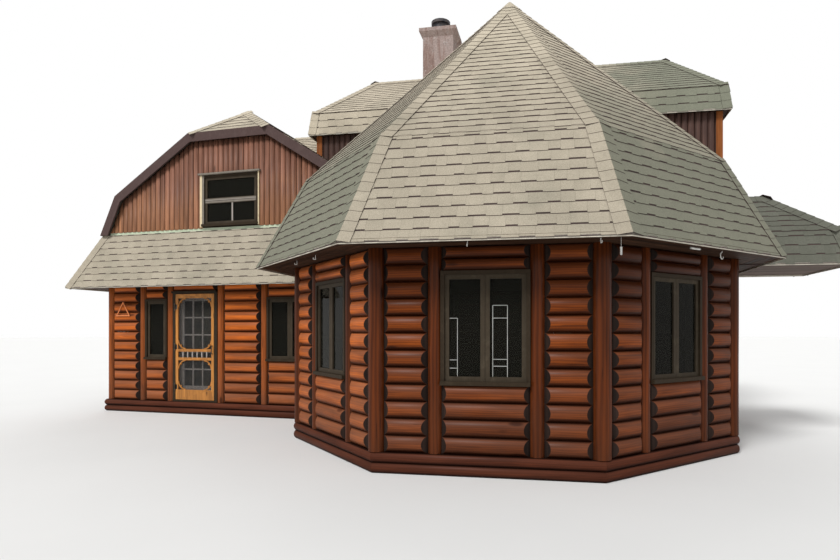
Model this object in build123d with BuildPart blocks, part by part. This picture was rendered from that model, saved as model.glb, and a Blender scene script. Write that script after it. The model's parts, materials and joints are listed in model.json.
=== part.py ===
from build123d import *
import os
from math import atan2, cos, degrees, radians, sin, sqrt, tan

# A log cottage: an eight-sided log pavilion in front, a log wing with a gable on the left,
# a narrow upper block with a hip roof behind, and a small canopy over the side door.
# The origin is on the ground below the pavilion's centre, X runs right along the front,
# Y runs inwards, away from the front, and Z is up. Lengths are in millimetres.

# Log walls
sill_course = 117.5  # height of one of the two sill logs
sill_courses = 2
log_course = 192  # height of one wall log
wall_courses = 12
log_groove = 38  # wall centre to the groove between two logs
log_bulge = 57  # how far a log swells past the groove
wall_inner = 75  # wall centre to the flat inner face
sill_groove = 78
sill_bulge = 27
sill_inner = 90
shoulder_face = 25  # wall centre to the start of the bevel on a log's end
inner_bevel = 10  # bevel on a log's end at the inner face
log_facets = 4  # flats that make up a log's round face

# Posts
corner_post_radius = 100
window_post_radius = 82
wing_post_radius = 75
post_flat = 0.88  # share of a post's radius at which logs butt against its side
post_sides = 14

# Pavilion
pavilion_sides = 8
pavilion_bend = 360 / pavilion_sides  # degrees from one side to the next
pavilion_side = 2500  # length of one side between the centres of its corner posts
window_post_offset = 568  # centre of a side to a window post
pavilion_eave = 3600  # centre to the middle of an eave
pavilion_kink = 2955  # centre to the roof's change of slope
pavilion_kink_height = 3834
pavilion_peak_height = 6850
peak_flat = 70  # half width of the small flat under the peak cap
peak_cap_overlap = 130
peak_cap_thickness = 14

# Wing, in its own plan frame: a along its front from the gable's centre, b inwards
wing_centre = (-5300, 586)
wing_turn = -5  # degrees, the wing swings back from the pavilion's front
wing_half_width = 2787
wing_depth = 5200
wing_stations = (-2787, -2006, -1360, -222, 718, 1800)  # post centres on the front
wing_side_window_offset = 568
wing_eave_height = 2456
wing_eave_half = 3443
wing_eave_reach = 470  # front wall centre to the pent roof's eave
wing_kink_half = 2600
wing_kink_height = 4270
wing_pitch = 0.637  # rise of the upper slope for each unit of run
pent_top_height = 3500
pent_top_reach = 60
gable_reach = 120  # front wall centre to the end of the upper roof
gable_clip_height = 5365
gable_clip_pitch = 0.883
roof_thickness = 110
fascia_width = 165
fascia_thickness = 25
flashing_height = 60
flashing_thickness = 8

# Upper block
block_left = -3805
block_right = 3505
block_back = 4200
block_eave_height = 5395
block_eave_reach = 175  # wall centre to the eave
block_band_height = 415
block_band_lean = 50
block_ridge_rise = 1220
block_end_run = 730
board_wall_outer = 30  # wall centre to the face behind the half-log boards
board_wall_inner = 75

# Saddle roof between the wing's ridge and the block
saddle_pitch = 0.637

# Canopy over the side door
canopy_centre = 200  # along Y
canopy_half_width = 900
canopy_end = 4800
canopy_kink_inset = 140
canopy_kink_height = 3010
canopy_pitch = 0.855

# Floors and soffits
upper_floor_thickness = 160
soffit_thickness = 25
floor_fit = 1  # gap between floor edge and sill
soffit_fit = 1  # gap between a soffit and the logs it runs along

# Windows and doors
window_bottom_courses = 4
window_height = 1265
wing_window_bottom = 1040
wing_window_height = 1180
header_courses = 2
casing_width = 45
casing_outer = 70
casing_inner = 60
sill_lip = 35
sash_rail = 50
sash_thickness = 45
sash_outer = 45
sash_gap = 4
glass_thickness = 6
gable_window_half = 610
gable_window_bottom = 3580
gable_window_height = 980

door_leaf_width = 866
door_leaf_height = 2030
door_gap = 7
threshold_height = 40
door_head = 50
door_header_courses = 1
door_frame_outer = 58
head_cap_height = 36
head_cap_reach = 34
stop_gap = 6
stop_width = 22
screen_thickness = 32
screen_outer = 60
screen_stile = 57
screen_top_rail = 80
screen_bottom_rail = 190
screen_mid_rail = 52
screen_upper_mid = 1081  # top of the leaf to the middle of the upper mid rail
screen_mid_step = 165
screen_mesh_thickness = 3
screen_mesh_at = 34  # wall centre to the back of the mesh
spindle_count = 6
spindle_radius = 10
spindle_sides = 8
screen_relief = 49  # wall centre to the middle of the spindles and brackets
bracket_radius = 170
bracket_width = 20
bracket_facets = 6  # flats round a bracket's quarter circle
bracket_thickness = 16
bracket_bite = 4  # how far a bracket is let into the stile and rail
scroll_lobes = ((3, 0, 13), (19, 9, 9))  # inwards, sideways and radius of each lobe
entrance_thickness = 44
entrance_outer = -29
entrance_stile = 120
entrance_top_rail = 130
entrance_bottom_rail = 260
light_columns = 3
light_rows = 5
light_bar = 26
knob_radius = 26
knob_reach = 44
knob_neck_radius = 11
knob_thickness = 22
knob_sides = 10
hinge_shares = (0.12, 0.5, 0.88)  # heights of the hinges up a leaf
hinge_height = 90
hinge_radius = 6
hinge_sides = 8
hinge_pin_radius = 4
hinge_pin_play = 0.05
hinge_fixed_height = 24
hinge_end_gap = 1  # between a leaf's knuckle and the fixed ones
hinge_plate = 34
hinge_leaf = 2
hinge_axis_gap = 3  # leaf edge to the hinge axis, in the gap beside it
hinge_axis_reach = 13  # leaf face to the hinge axis
pull_reach = 34
pull_length = 150
pull_radius = 8
door_knob_height = 960

# Chimney
chimney_centre = (-1721, 2725)
chimney_width = 650
chimney_depth = 580
chimney_top = 7960
chimney_corbel = 105  # height of the widening under the cap
chimney_cap_reach = 70
chimney_cap_thickness = 70
flue_radius = 160
flue_height = 200
flue_rim_radius = 205
flue_rim_height = 60
flue_bore = 130
flue_depth = 400
flue_sides = 16

# Dinner triangle hung on the wing
triangle_side = 330
triangle_bar = 13
triangle_bottom = 1890
triangle_centre = -2440

os.makedirs("parts", exist_ok=True)

sill_height = sill_course * sill_courses
wall_top = sill_height + log_course * wall_courses
log_outer = log_groove + log_bulge
screen_inner = screen_outer - screen_thickness
upper_wall_foot = wall_top + upper_floor_thickness
apothem = pavilion_side / 2 / tan(radians(pavilion_bend / 2))
quarter, half_turn = 90, 180  # degrees
cut = 20  # how far a cutting shape runs past what it cuts
tall = 12000  # height of a cutting prism


class Wall:
    """A straight run of wall, seen from outside, with its start on the left."""

    def __init__(self, start, heading, length):
        self.start = Vector(start[0], start[1], 0)
        self.along = Vector(cos(radians(heading)), sin(radians(heading)), 0)
        self.outward = Vector(sin(radians(heading)), -cos(radians(heading)), 0)
        self.heading = heading
        self.length = length

    def point(self, distance, outward=0.0, height=0.0):
        """A place on the wall, by its distance from the start."""
        flat = self.start + self.along * distance + self.outward * outward
        return Vector(flat.X, flat.Y, height)

    def section(self, distance):
        """Plane across the wall: x inwards, y up, z along the wall."""
        return Plane(origin=self.point(distance), x_dir=self.outward * -1, z_dir=self.along)

    def face(self, distance=0.0, outward=0.0):
        """Plane of the wall: x along, y up, z outwards."""
        return Plane(origin=self.point(distance, outward), x_dir=self.along, z_dir=self.outward)

    def plan(self, height):
        """Level plane: x along, y inwards, z up."""
        return Plane(origin=self.point(0, 0, height), x_dir=self.along, z_dir=(0, 0, 1))


def wall_between(start, end):
    """A wall from one plan point to another."""
    run = Vector(end[0] - start[0], end[1] - start[1], 0)
    return Wall(start, degrees(atan2(run.Y, run.X)), run.length)


def wing_point(a, b):
    """A plan point of the wing, in the building's frame."""
    turn = radians(wing_turn)
    along = (cos(turn), sin(turn))
    inward = (-sin(turn), cos(turn))
    return (
        wing_centre[0] + a * along[0] + b * inward[0],
        wing_centre[1] + a * along[1] + b * inward[1],
    )


def wing_plane(height=0.0):
    """Level plane of the wing: x along its front, y inwards, z up."""
    turn = radians(wing_turn)
    return Plane(
        origin=(wing_centre[0], wing_centre[1], height),
        x_dir=(cos(turn), sin(turn), 0),
        z_dir=(0, 0, 1),
    )


def wing_section(b):
    """Upright plane across the wing: x along its front, y up, z outwards."""
    turn = radians(wing_turn)
    x, y = wing_point(0, b)
    return Plane(origin=(x, y, 0), x_dir=(cos(turn), sin(turn), 0), z_dir=(sin(turn), -cos(turn), 0))


def wing_side_section(a):
    """Upright plane along the wing: x inwards, y up, z along its front."""
    turn = radians(wing_turn)
    x, y = wing_point(a, 0)
    return Plane(origin=(x, y, 0), x_dir=(-sin(turn), cos(turn), 0), z_dir=(cos(turn), sin(turn), 0))


def log_outline(groove, bulge, inner, bottom, pitch, courses):
    """Outline across a run of logs: a flat inner face and one round swelling a course."""
    top = bottom + courses * pitch
    outline = [(-groove, top), (inner, top), (inner, bottom), (-groove, bottom)]
    radius = ((pitch / 2) ** 2 + bulge**2) / (2 * bulge)
    spread = atan2(pitch / 2, radius - bulge)
    for course in range(courses):
        middle = bottom + (course + 0.5) * pitch
        for facet in range(1, log_facets):
            angle = spread * (2 * facet / log_facets - 1)
            outward = groove + bulge - radius * (1 - cos(angle))
            outline.append((-outward, middle + radius * sin(angle)))
        if course < courses - 1:
            outline.append((-groove, middle + pitch / 2))
    return outline


def log_panel(wall, left, right, bottom, top, courses):
    """Horizontal logs between two posts, with bevelled ends."""
    pitch = (top - bottom) / courses
    reach = log_outer - shoulder_face
    with BuildPart() as panel:
        with BuildSketch(wall.section(left)):
            with BuildLine():
                outline = log_outline(log_groove, log_bulge, wall_inner, bottom, pitch, courses)
                Polyline(*outline, close=True)
            make_face()
        extrude(amount=right - left)
        with BuildSketch(wall.plan(bottom)):
            for end, side in ((left, 1), (right, -1)):
                with BuildLine():
                    Polyline(
                        (end, -shoulder_face),
                        (end, -shoulder_face - reach - cut),
                        (end + side * (reach + cut), -shoulder_face - reach - cut),
                        close=True,
                    )
                make_face()
                with BuildLine():
                    Polyline(
                        (end, wall_inner - inner_bevel),
                        (end, wall_inner + cut),
                        (end + side * (inner_bevel + cut), wall_inner + cut),
                        close=True,
                    )
                make_face()
        extrude(amount=top - bottom, mode=Mode.SUBTRACT)
    return panel.part


def post(place, radius, flats, bottom, top):
    """A round post with a flat towards each wall that butts against it."""
    flat = radius * post_flat
    with BuildPart() as shaft:
        with BuildSketch(Plane.XY.offset(bottom)):
            with Locations(place):
                RegularPolygon(radius, post_sides)
            for heading in flats:
                reach = flat + radius
                centre = (
                    place[0] + reach * cos(radians(heading)),
                    place[1] + reach * sin(radians(heading)),
                )
                with Locations(Location((centre[0], centre[1], 0), (0, 0, heading))):
                    Rectangle(2 * radius, 3 * radius, mode=Mode.SUBTRACT)
        extrude(amount=top - bottom)
    return shaft.part


def sill_run(path):
    """Two sill logs swept along a line in plan, mitred at its corners."""
    first = wall_between(path[0], path[1])
    with BuildPart() as run:
        with BuildLine() as route:
            Polyline(*[(x, y, 0) for x, y in path])
        with BuildSketch(first.section(0)):
            with BuildLine():
                outline = log_outline(sill_groove, sill_bulge, sill_inner, 0, sill_course, sill_courses)
                Polyline(*outline, close=True)
            make_face()
        sweep(path=route.line, transition=Transition.RIGHT)
    return run.part


def upright_box(wall, left, right, bottom, top, outer, inner):
    """A box in a wall, from one outward distance to another."""
    with BuildPart() as block:
        with BuildSketch(wall.face(0, inner)):
            with Locations(((left + right) / 2, (bottom + top) / 2)):
                Rectangle(right - left, top - bottom)
        extrude(amount=outer - inner)
    return block.part


def frame_ring(wall, left, right, bottom, top, width, outer, inner):
    """A rectangular frame in a wall."""
    with BuildPart() as ring:
        with BuildSketch(wall.face(0, inner)):
            with Locations(((left + right) / 2, (bottom + top) / 2)):
                Rectangle(right - left, top - bottom)
                Rectangle(right - left - 2 * width, top - bottom - 2 * width, mode=Mode.SUBTRACT)
        extrude(amount=outer - inner)
    return ring.part


def window_frame(wall, left, right, bottom, top, outer=casing_outer, inner=-casing_inner):
    """A window's casing with its sill lip."""
    with BuildPart() as casing:
        add(frame_ring(wall, left, right, bottom, top, casing_width, outer, inner))
        add(upright_box(wall, left, right, bottom, bottom + casing_width, outer + sill_lip, outer))
    return casing.part


def window_leaves(wall, left, right, bottom, top, columns, rows=1, outer=sash_outer):
    """The sashes of a window and their panes."""
    sashes, panes = [], []
    clear_left, clear_right = left + casing_width, right - casing_width
    clear_bottom, clear_top = bottom + casing_width, top - casing_width
    wide = (clear_right - clear_left - (columns - 1) * sash_gap) / columns
    high = (clear_top - clear_bottom - (rows - 1) * sash_gap) / rows
    for column in range(columns):
        for row in range(rows):
            x = clear_left + column * (wide + sash_gap)
            z = clear_bottom + row * (high + sash_gap)
            back = outer - sash_thickness
            sashes.append(frame_ring(wall, x, x + wide, z, z + high, sash_rail, outer, back))
            middle = outer - sash_thickness / 2
            panes.append(
                upright_box(
                    wall,
                    x + sash_rail,
                    x + wide - sash_rail,
                    z + sash_rail,
                    z + high - sash_rail,
                    middle + glass_thickness / 2,
                    middle - glass_thickness / 2,
                )
            )
    return sashes, panes


def octagon_taper(low_apothem, low, high_apothem, high):
    """A tapering eight-sided solid between two levels."""
    with BuildPart() as solid:
        with BuildSketch(Plane.XY.offset(low)):
            RegularPolygon(low_apothem, pavilion_sides, major_radius=False, rotation=pavilion_bend / 2)
        extrude(amount=high - low, taper=degrees(atan2(low_apothem - high_apothem, high - low)))
    return solid.part


def octagon_prism(size, low, high):
    """An upright eight-sided solid by its centre to the middle of a side."""
    with BuildPart() as solid:
        with BuildSketch(Plane.XY.offset(low)):
            RegularPolygon(size, pavilion_sides, major_radius=False, rotation=pavilion_bend / 2)
        extrude(amount=high - low)
    return solid.part


def leaning_box(base, x0, x1, y0, y1, foot, top, lean_start, lean_end, lean_side):
    """A box on a level plane whose upright faces lean inwards by the given runs."""
    front = Plane(origin=base.origin, x_dir=base.x_dir, z_dir=base.y_dir * -1)
    side = Plane(origin=base.origin, x_dir=base.y_dir, z_dir=base.x_dir)
    with BuildPart() as solid:
        with BuildSketch(front):
            with BuildLine():
                Polyline((x0, foot), (x1, foot), (x1 - lean_end, top), (x0 + lean_start, top), close=True)
            make_face()
        extrude(amount=tall, both=True)
        with BuildSketch(side):
            with BuildLine():
                Polyline((y0, foot), (y1, foot), (y1 - lean_side, top), (y0 + lean_side, top), close=True)
            make_face()
        extrude(amount=tall, both=True, mode=Mode.INTERSECT)
    return solid.part


def plan_prism(plane, x0, x1, y0, y1, height):
    """A box on a level plane by its sides in plan."""
    with BuildPart() as solid:
        with BuildSketch(plane):
            with Locations(((x0 + x1) / 2, (y0 + y1) / 2)):
                Rectangle(x1 - x0, y1 - y0)
        extrude(amount=height)
    return solid.part


# Plan of the building
octagon_points = {}
for side_index in range(-1, 4):
    corner_angle = radians(pavilion_bend * (side_index - 0.5))
    ring = apothem / cos(radians(pavilion_bend / 2))
    octagon_points[side_index] = (ring * sin(corner_angle), -ring * cos(corner_angle))

wing_front_left = wing_point(-wing_half_width, 0)
wing_back_left = wing_point(-wing_half_width, wing_depth)
wing_back_right = wing_point(wing_half_width, wing_depth)
wing_cos = cos(radians(wing_turn))
wing_meets_a = (-apothem - wing_centre[0]) / wing_cos
wing_meets_pavilion = wing_point(wing_meets_a, 0)
wing_right_foot = wing_point(wing_half_width, 0)
wing_meets_b = (block_back - wing_right_foot[1]) / wing_cos
wing_meets_block = wing_point(wing_half_width, wing_meets_b)

block_front = octagon_points[3][1]
front_right_corner = (block_right, block_front)
back_right_corner = (block_right, block_back)

pavilion_walls = {
    "front_left": wall_between(octagon_points[-1], octagon_points[0]),
    "front": wall_between(octagon_points[0], octagon_points[1]),
    "front_right": wall_between(octagon_points[1], octagon_points[2]),
    "right": wall_between(octagon_points[2], octagon_points[3]),
}
pavilion_left = wall_between(wing_meets_pavilion, octagon_points[-1])
wing_front = wall_between(wing_front_left, wing_meets_pavilion)
wing_left = wall_between(wing_back_left, wing_front_left)
wing_back = wall_between(wing_back_right, wing_back_left)
wing_right = wall_between(wing_meets_block, wing_back_right)
block_front_stub = wall_between(octagon_points[3], front_right_corner)
block_side = wall_between(front_right_corner, back_right_corner)
block_rear = wall_between(back_right_corner, wing_meets_block)

corner_flat = corner_post_radius * post_flat
window_flat = window_post_radius * post_flat
wing_flat = wing_post_radius * post_flat

window_bottom = sill_height + window_bottom_courses * log_course
window_top = window_bottom + window_height
wing_window_top = wing_window_bottom + wing_window_height

frames, sashes, panes = [], [], []


def fit_window(wall, left, right, bottom, top, columns=2, rows=1):
    """Put a window in a bay, and keep its pieces in the lists."""
    frames.append(window_frame(wall, left, right, bottom, top))
    leaves, lights = window_leaves(wall, left, right, bottom, top, columns, rows)
    sashes.extend(leaves)
    panes.extend(lights)


def window_bay(wall, left, right, bottom, top, columns=2):
    """Logs under and over a window, and the window itself."""
    fit_window(wall, left, right, bottom, top, columns)
    return [
        log_panel(wall, left, right, sill_height, bottom, window_bottom_courses),
        log_panel(wall, left, right, top, wall_top, header_courses),
    ]


def window_wall(wall, bottom, top, start_flat, end_flat, side_flat, offset):
    """A wall with a window between two posts in its middle."""
    middle = wall.length / 2
    near, far = middle - offset, middle + offset
    panels = [
        log_panel(wall, start_flat, near - side_flat, sill_height, wall_top, wall_courses),
        log_panel(wall, far + side_flat, wall.length - end_flat, sill_height, wall_top, wall_courses),
    ]
    return panels + window_bay(wall, near + side_flat, far - side_flat, bottom, top)


def plain_wall(wall, start_flat, end_flat):
    """A wall of logs from post to post."""
    return [log_panel(wall, start_flat, wall.length - end_flat, sill_height, wall_top, wall_courses)]


def middle_posts(wall, offset, radius):
    """The two posts beside a wall's middle bay."""
    spots = (wall.point(wall.length / 2 - offset), wall.point(wall.length / 2 + offset))
    flats = (wall.heading, wall.heading + half_turn)
    return [post((spot.X, spot.Y), radius, flats, sill_height, wall_top) for spot in spots]


def export_node(builder, label):
    """Label a finished piece and write it."""
    builder.part.label = label
    export_step(builder.part, f"parts/{label}.step")


# Pavilion log walls
for wall_name in ("front_left", "front", "front_right"):
    wall = pavilion_walls[wall_name]
    pieces = window_wall(
        wall, window_bottom, window_top, corner_flat, corner_flat, window_flat, window_post_offset
    )
    with BuildPart() as log_wall:
        add(pieces)
    export_node(log_wall, f"pavilion_{wall_name}_logs")

with BuildPart() as pavilion_left_logs:
    add(plain_wall(pavilion_left, wing_flat, corner_flat))
export_node(pavilion_left_logs, "pavilion_left_logs")

# The two door bays
door_bottom = sill_height + threshold_height
door_top = door_bottom + door_leaf_height
door_head_top = door_top + door_gap + door_head


def door_frame(wall, left, right, leaf_left, leaf_right, gap=door_gap):
    """Jambs, head, threshold, stop and head cap round a door opening."""
    middle = ((leaf_left + leaf_right) / 2, (door_bottom + door_top) / 2)
    clear_wide = leaf_right - leaf_left + 2 * gap
    clear_high = door_leaf_height + 2 * gap
    with BuildPart() as casing:
        with BuildSketch(wall.face(0, -wall_inner)):
            with Locations(((left + right) / 2, (sill_height + door_head_top) / 2)):
                Rectangle(right - left, door_head_top - sill_height)
            with Locations(middle):
                Rectangle(clear_wide, clear_high, mode=Mode.SUBTRACT)
        extrude(amount=wall_inner + door_frame_outer)
        with BuildSketch(wall.face(0, entrance_outer + stop_gap)):
            with Locations(middle):
                Rectangle(clear_wide, clear_high)
                Rectangle(clear_wide - 2 * stop_width, clear_high - 2 * stop_width, mode=Mode.SUBTRACT)
        extrude(amount=screen_inner - entrance_outer - 2 * stop_gap)
        with BuildSketch(wall.face(0, door_frame_outer)):
            with Locations(((left + right) / 2, door_head_top - head_cap_height / 2)):
                Rectangle(right - left, head_cap_height)
        extrude(amount=head_cap_reach)
    return casing.part


def door_leaf(wall, left, right):
    """A glazed leaf: stiles, rails and a grid of openings, and its panes."""
    high = door_leaf_height - entrance_top_rail - entrance_bottom_rail
    wide = right - left - 2 * entrance_stile
    light_wide = (wide - (light_columns - 1) * light_bar) / light_columns
    light_high = (high - (light_rows - 1) * light_bar) / light_rows
    steps = (light_wide + light_bar, light_high + light_bar, light_columns, light_rows)
    middle = ((left + right) / 2, door_bottom + entrance_bottom_rail + high / 2)
    with BuildPart() as leaf:
        with BuildSketch(wall.face(0, entrance_outer - entrance_thickness)):
            with Locations(((left + right) / 2, (door_bottom + door_top) / 2)):
                Rectangle(right - left, door_leaf_height)
            with Locations(middle):
                with GridLocations(*steps):
                    Rectangle(light_wide, light_high, mode=Mode.SUBTRACT)
        extrude(amount=entrance_thickness)
    with BuildPart() as lights:
        with BuildSketch(wall.face(0, entrance_outer - (entrance_thickness + glass_thickness) / 2)):
            with Locations(middle):
                with GridLocations(*steps):
                    Rectangle(light_wide, light_high)
        extrude(amount=glass_thickness)
    return leaf.part, lights.part


def door_knobs(wall, x):
    """A round knob on each face of a leaf."""
    with BuildPart() as knobs:
        for face_at, side in ((entrance_outer, 1), (entrance_outer - entrance_thickness, -1)):
            neck = Plane(
                origin=wall.point(x, face_at, door_bottom + door_knob_height),
                x_dir=wall.along,
                z_dir=wall.outward * side,
            )
            with BuildSketch(neck):
                RegularPolygon(knob_neck_radius, knob_sides)
            extrude(amount=knob_reach - knob_thickness)
            with BuildSketch(neck.offset(knob_reach - knob_thickness)):
                RegularPolygon(knob_radius, knob_sides)
            extrude(amount=knob_thickness)
    return knobs.part


def span(first, second):
    """Two distances, the lower one first."""
    return (min(first, second), max(first, second))


def leaf_hinges(wall, edge, face_at, side):
    """Three hinges: a knuckle on the axis, its neck and its plate on the leaf's face."""
    axis_at = face_at + side * hinge_axis_reach
    centre = wall.point(edge - hinge_axis_gap, axis_at)
    neck = span(face_at, axis_at)
    plate = span(face_at, face_at + side * hinge_leaf)
    with BuildPart() as hinges:
        for share in hinge_shares:
            low = door_bottom + share * door_leaf_height - hinge_height / 2
            high = low + hinge_height
            with BuildSketch(Plane.XY.offset(low)):
                with Locations((centre.X, centre.Y)):
                    RegularPolygon(hinge_radius, hinge_sides)
            extrude(amount=hinge_height)
            add(upright_box(wall, edge, edge + hinge_axis_gap, low, high, neck[1], neck[0]))
            add(upright_box(wall, edge, edge + hinge_plate, low, high, plate[1], plate[0]))
            with BuildSketch(Plane.XY.offset(low)):
                with Locations((centre.X, centre.Y)):
                    RegularPolygon(hinge_pin_radius + hinge_pin_play, hinge_sides, major_radius=False)
            extrude(amount=hinge_height, mode=Mode.SUBTRACT)
    return hinges.part


def frame_hinges(wall, edge, leaf_face, frame_face, side):
    """The fixed halves of the hinges: a pin, its two knuckles and their plates on the frame."""
    axis_x = edge - hinge_axis_gap
    axis_at = leaf_face + side * hinge_axis_reach
    frame_edge = edge - door_gap
    centre = wall.point(axis_x, axis_at)
    neck = span(frame_face, axis_at)
    plate = span(frame_face, frame_face + side * hinge_leaf)
    with BuildPart() as hinges:
        for share in hinge_shares:
            low = door_bottom + share * door_leaf_height - hinge_height / 2
            foot = low - hinge_end_gap - hinge_fixed_height
            head = low + hinge_height + hinge_end_gap
            with BuildSketch(Plane.XY.offset(foot)):
                with Locations((centre.X, centre.Y)):
                    RegularPolygon(hinge_pin_radius, hinge_sides)
            extrude(amount=head + hinge_fixed_height - foot)
            for level in (foot, head):
                with BuildSketch(Plane.XY.offset(level)):
                    with Locations((centre.X, centre.Y)):
                        RegularPolygon(hinge_radius, hinge_sides)
                extrude(amount=hinge_fixed_height)
                top = level + hinge_fixed_height
                for reach, depths in ((hinge_axis_gap, neck), (hinge_plate, plate)):
                    start = frame_edge - reach
                    add(upright_box(wall, start, frame_edge, level, top, depths[1], depths[0]))
    return hinges.part


# Side door
side_wall = pavilion_walls["right"]
side_middle = side_wall.length / 2
side_near, side_far = side_middle - window_post_offset, side_middle + window_post_offset
side_bay = (side_near + window_flat, side_far - window_flat)
side_panels = [
    log_panel(side_wall, corner_flat, side_near - window_flat, sill_height, wall_top, wall_courses),
    log_panel(
        side_wall,
        side_far + window_flat,
        side_wall.length - corner_flat,
        sill_height,
        wall_top,
        wall_courses,
    ),
    log_panel(side_wall, side_bay[0], side_bay[1], door_head_top, wall_top, door_header_courses),
]
with BuildPart() as pavilion_right_logs:
    add(side_panels)
export_node(pavilion_right_logs, "pavilion_right_logs")

side_leaf = (side_middle - door_leaf_width / 2, side_middle + door_leaf_width / 2)
side_casing = door_frame(side_wall, side_bay[0], side_bay[1], side_leaf[0], side_leaf[1], 0)
with BuildPart() as side_door_frame:
    add(side_casing)
export_node(side_door_frame, "side_door_frame")

side_leaf_part, side_lights = door_leaf(side_wall, side_leaf[0], side_leaf[1])
with BuildPart() as side_door:
    add(side_leaf_part)
export_node(side_door, "side_door")
panes.append(side_lights)

with BuildPart() as side_door_knobs:
    add(door_knobs(side_wall, side_leaf[0] + entrance_stile / 2))
export_node(side_door_knobs, "side_door_knobs")

# Wing log walls, with the front door
front_cuts = [wing_half_width + station for station in wing_stations] + [wing_front.length]
bays = [
    (left + wing_flat, right - wing_flat)
    for left, right in zip(front_cuts[:-1], front_cuts[1:])
]
door_bay = bays[2]
door_middle = (door_bay[0] + door_bay[1]) / 2
leaf_span = (door_middle - door_leaf_width / 2, door_middle + door_leaf_width / 2)
front_panels = [
    log_panel(wing_front, bays[0][0], bays[0][1], sill_height, wall_top, wall_courses),
    log_panel(wing_front, door_bay[0], door_bay[1], door_head_top, wall_top, door_header_courses),
    log_panel(wing_front, bays[3][0], bays[3][1], sill_height, wall_top, wall_courses),
    log_panel(wing_front, bays[5][0], bays[5][1], sill_height, wall_top, wall_courses),
]
front_panels += window_bay(wing_front, bays[1][0], bays[1][1], wing_window_bottom, wing_window_top, 1)
front_panels += window_bay(wing_front, bays[4][0], bays[4][1], wing_window_bottom, wing_window_top)
with BuildPart() as wing_front_logs:
    add(front_panels)
export_node(wing_front_logs, "wing_front_logs")

side_flats = (wing_flat, wing_flat, wing_flat)
side_sizes = (wing_window_bottom, wing_window_top, *side_flats, wing_side_window_offset)
left_panels = window_wall(wing_left, *side_sizes)
with BuildPart() as wing_left_logs:
    add(left_panels)
export_node(wing_left_logs, "wing_left_logs")

back_panels = window_wall(wing_back, *side_sizes)
with BuildPart() as wing_back_logs:
    add(back_panels)
export_node(wing_back_logs, "wing_back_logs")

with BuildPart() as wing_right_logs:
    add(plain_wall(wing_right, wing_flat, wing_flat))
export_node(wing_right_logs, "wing_right_logs")

# Block log walls
block_side_panels = window_wall(block_side, *side_sizes)
stub_panels = plain_wall(block_front_stub, corner_flat, wing_flat)
with BuildPart() as block_side_logs:
    add(block_side_panels + stub_panels)
export_node(block_side_logs, "block_side_logs")

block_back_panels = window_wall(block_rear, *side_sizes)
with BuildPart() as block_back_logs:
    add(block_back_panels)
export_node(block_back_logs, "block_back_logs")

# Posts
corner_shafts = []
for side_index in range(-1, 4):
    heading = pavilion_bend * side_index
    headings = (heading - pavilion_bend + half_turn, heading)
    if side_index == 3:
        headings = (-quarter, 0)
    corner_shafts.append(
        post(octagon_points[side_index], corner_post_radius, headings, sill_height, wall_top)
    )
with BuildPart() as pavilion_corner_posts:
    add(corner_shafts)
export_node(pavilion_corner_posts, "pavilion_corner_posts")

window_shafts = []
for wall in pavilion_walls.values():
    window_shafts += middle_posts(wall, window_post_offset, window_post_radius)
with BuildPart() as pavilion_window_posts:
    add(window_shafts)
export_node(pavilion_window_posts, "pavilion_window_posts")

turn = wing_turn
wing_shafts = [
    post(wing_front_left, wing_post_radius, (turn, turn + quarter), sill_height, wall_top),
    post(wing_back_left, wing_post_radius, (turn, turn - quarter), sill_height, wall_top),
    post(wing_back_right, wing_post_radius, (turn + half_turn, turn - quarter), sill_height, wall_top),
    post(wing_meets_pavilion, wing_post_radius, (turn + half_turn, -quarter), sill_height, wall_top),
    post(wing_meets_block, wing_post_radius, (0, turn + quarter), sill_height, wall_top),
]
for station in wing_stations[1:]:
    wing_shafts.append(
        post(wing_point(station, 0), wing_post_radius, (turn, turn + half_turn), sill_height, wall_top)
    )
for wall in (wing_left, wing_back):
    wing_shafts += middle_posts(wall, wing_side_window_offset, wing_post_radius)
with BuildPart() as wing_posts:
    add(wing_shafts)
export_node(wing_posts, "wing_posts")

block_shafts = [
    post(front_right_corner, wing_post_radius, (half_turn, quarter), sill_height, wall_top),
    post(back_right_corner, wing_post_radius, (half_turn, -quarter), sill_height, wall_top),
]
for wall in (block_side, block_rear):
    block_shafts += middle_posts(wall, wing_side_window_offset, wing_post_radius)
with BuildPart() as block_posts:
    add(block_shafts)
export_node(block_posts, "block_posts")

# Sill logs under every wall
pavilion_route = [wing_meets_pavilion] + [octagon_points[k] for k in range(-1, 4)]
block_route = [octagon_points[3], front_right_corner, back_right_corner, wing_meets_block]
wing_route = [wing_meets_block, wing_back_right, wing_back_left, wing_front_left, wing_meets_pavilion]
sill_ring = sill_run(pavilion_route + block_route[1:] + wing_route[1:])
with BuildPart() as sill_logs:
    add(sill_ring)
export_node(sill_logs, "sill_logs")

# Ground floor inside the sill
floor_points = pavilion_route + block_route[1:] + wing_route[1:-1]
with BuildPart() as ground_floor:
    with BuildSketch():
        with BuildLine():
            Polyline(*floor_points, close=True)
        make_face()
        offset(amount=-(sill_inner + floor_fit), kind=Kind.INTERSECTION, mode=Mode.REPLACE)
    extrude(amount=sill_height)
export_node(ground_floor, "ground_floor")

# Envelope of the upper block, used to trim what meets it
block_body = plan_prism(
    Plane.XY,
    block_left - board_wall_outer,
    block_right + board_wall_outer,
    block_front - board_wall_outer,
    block_back + board_wall_outer,
    tall,
)

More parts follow.
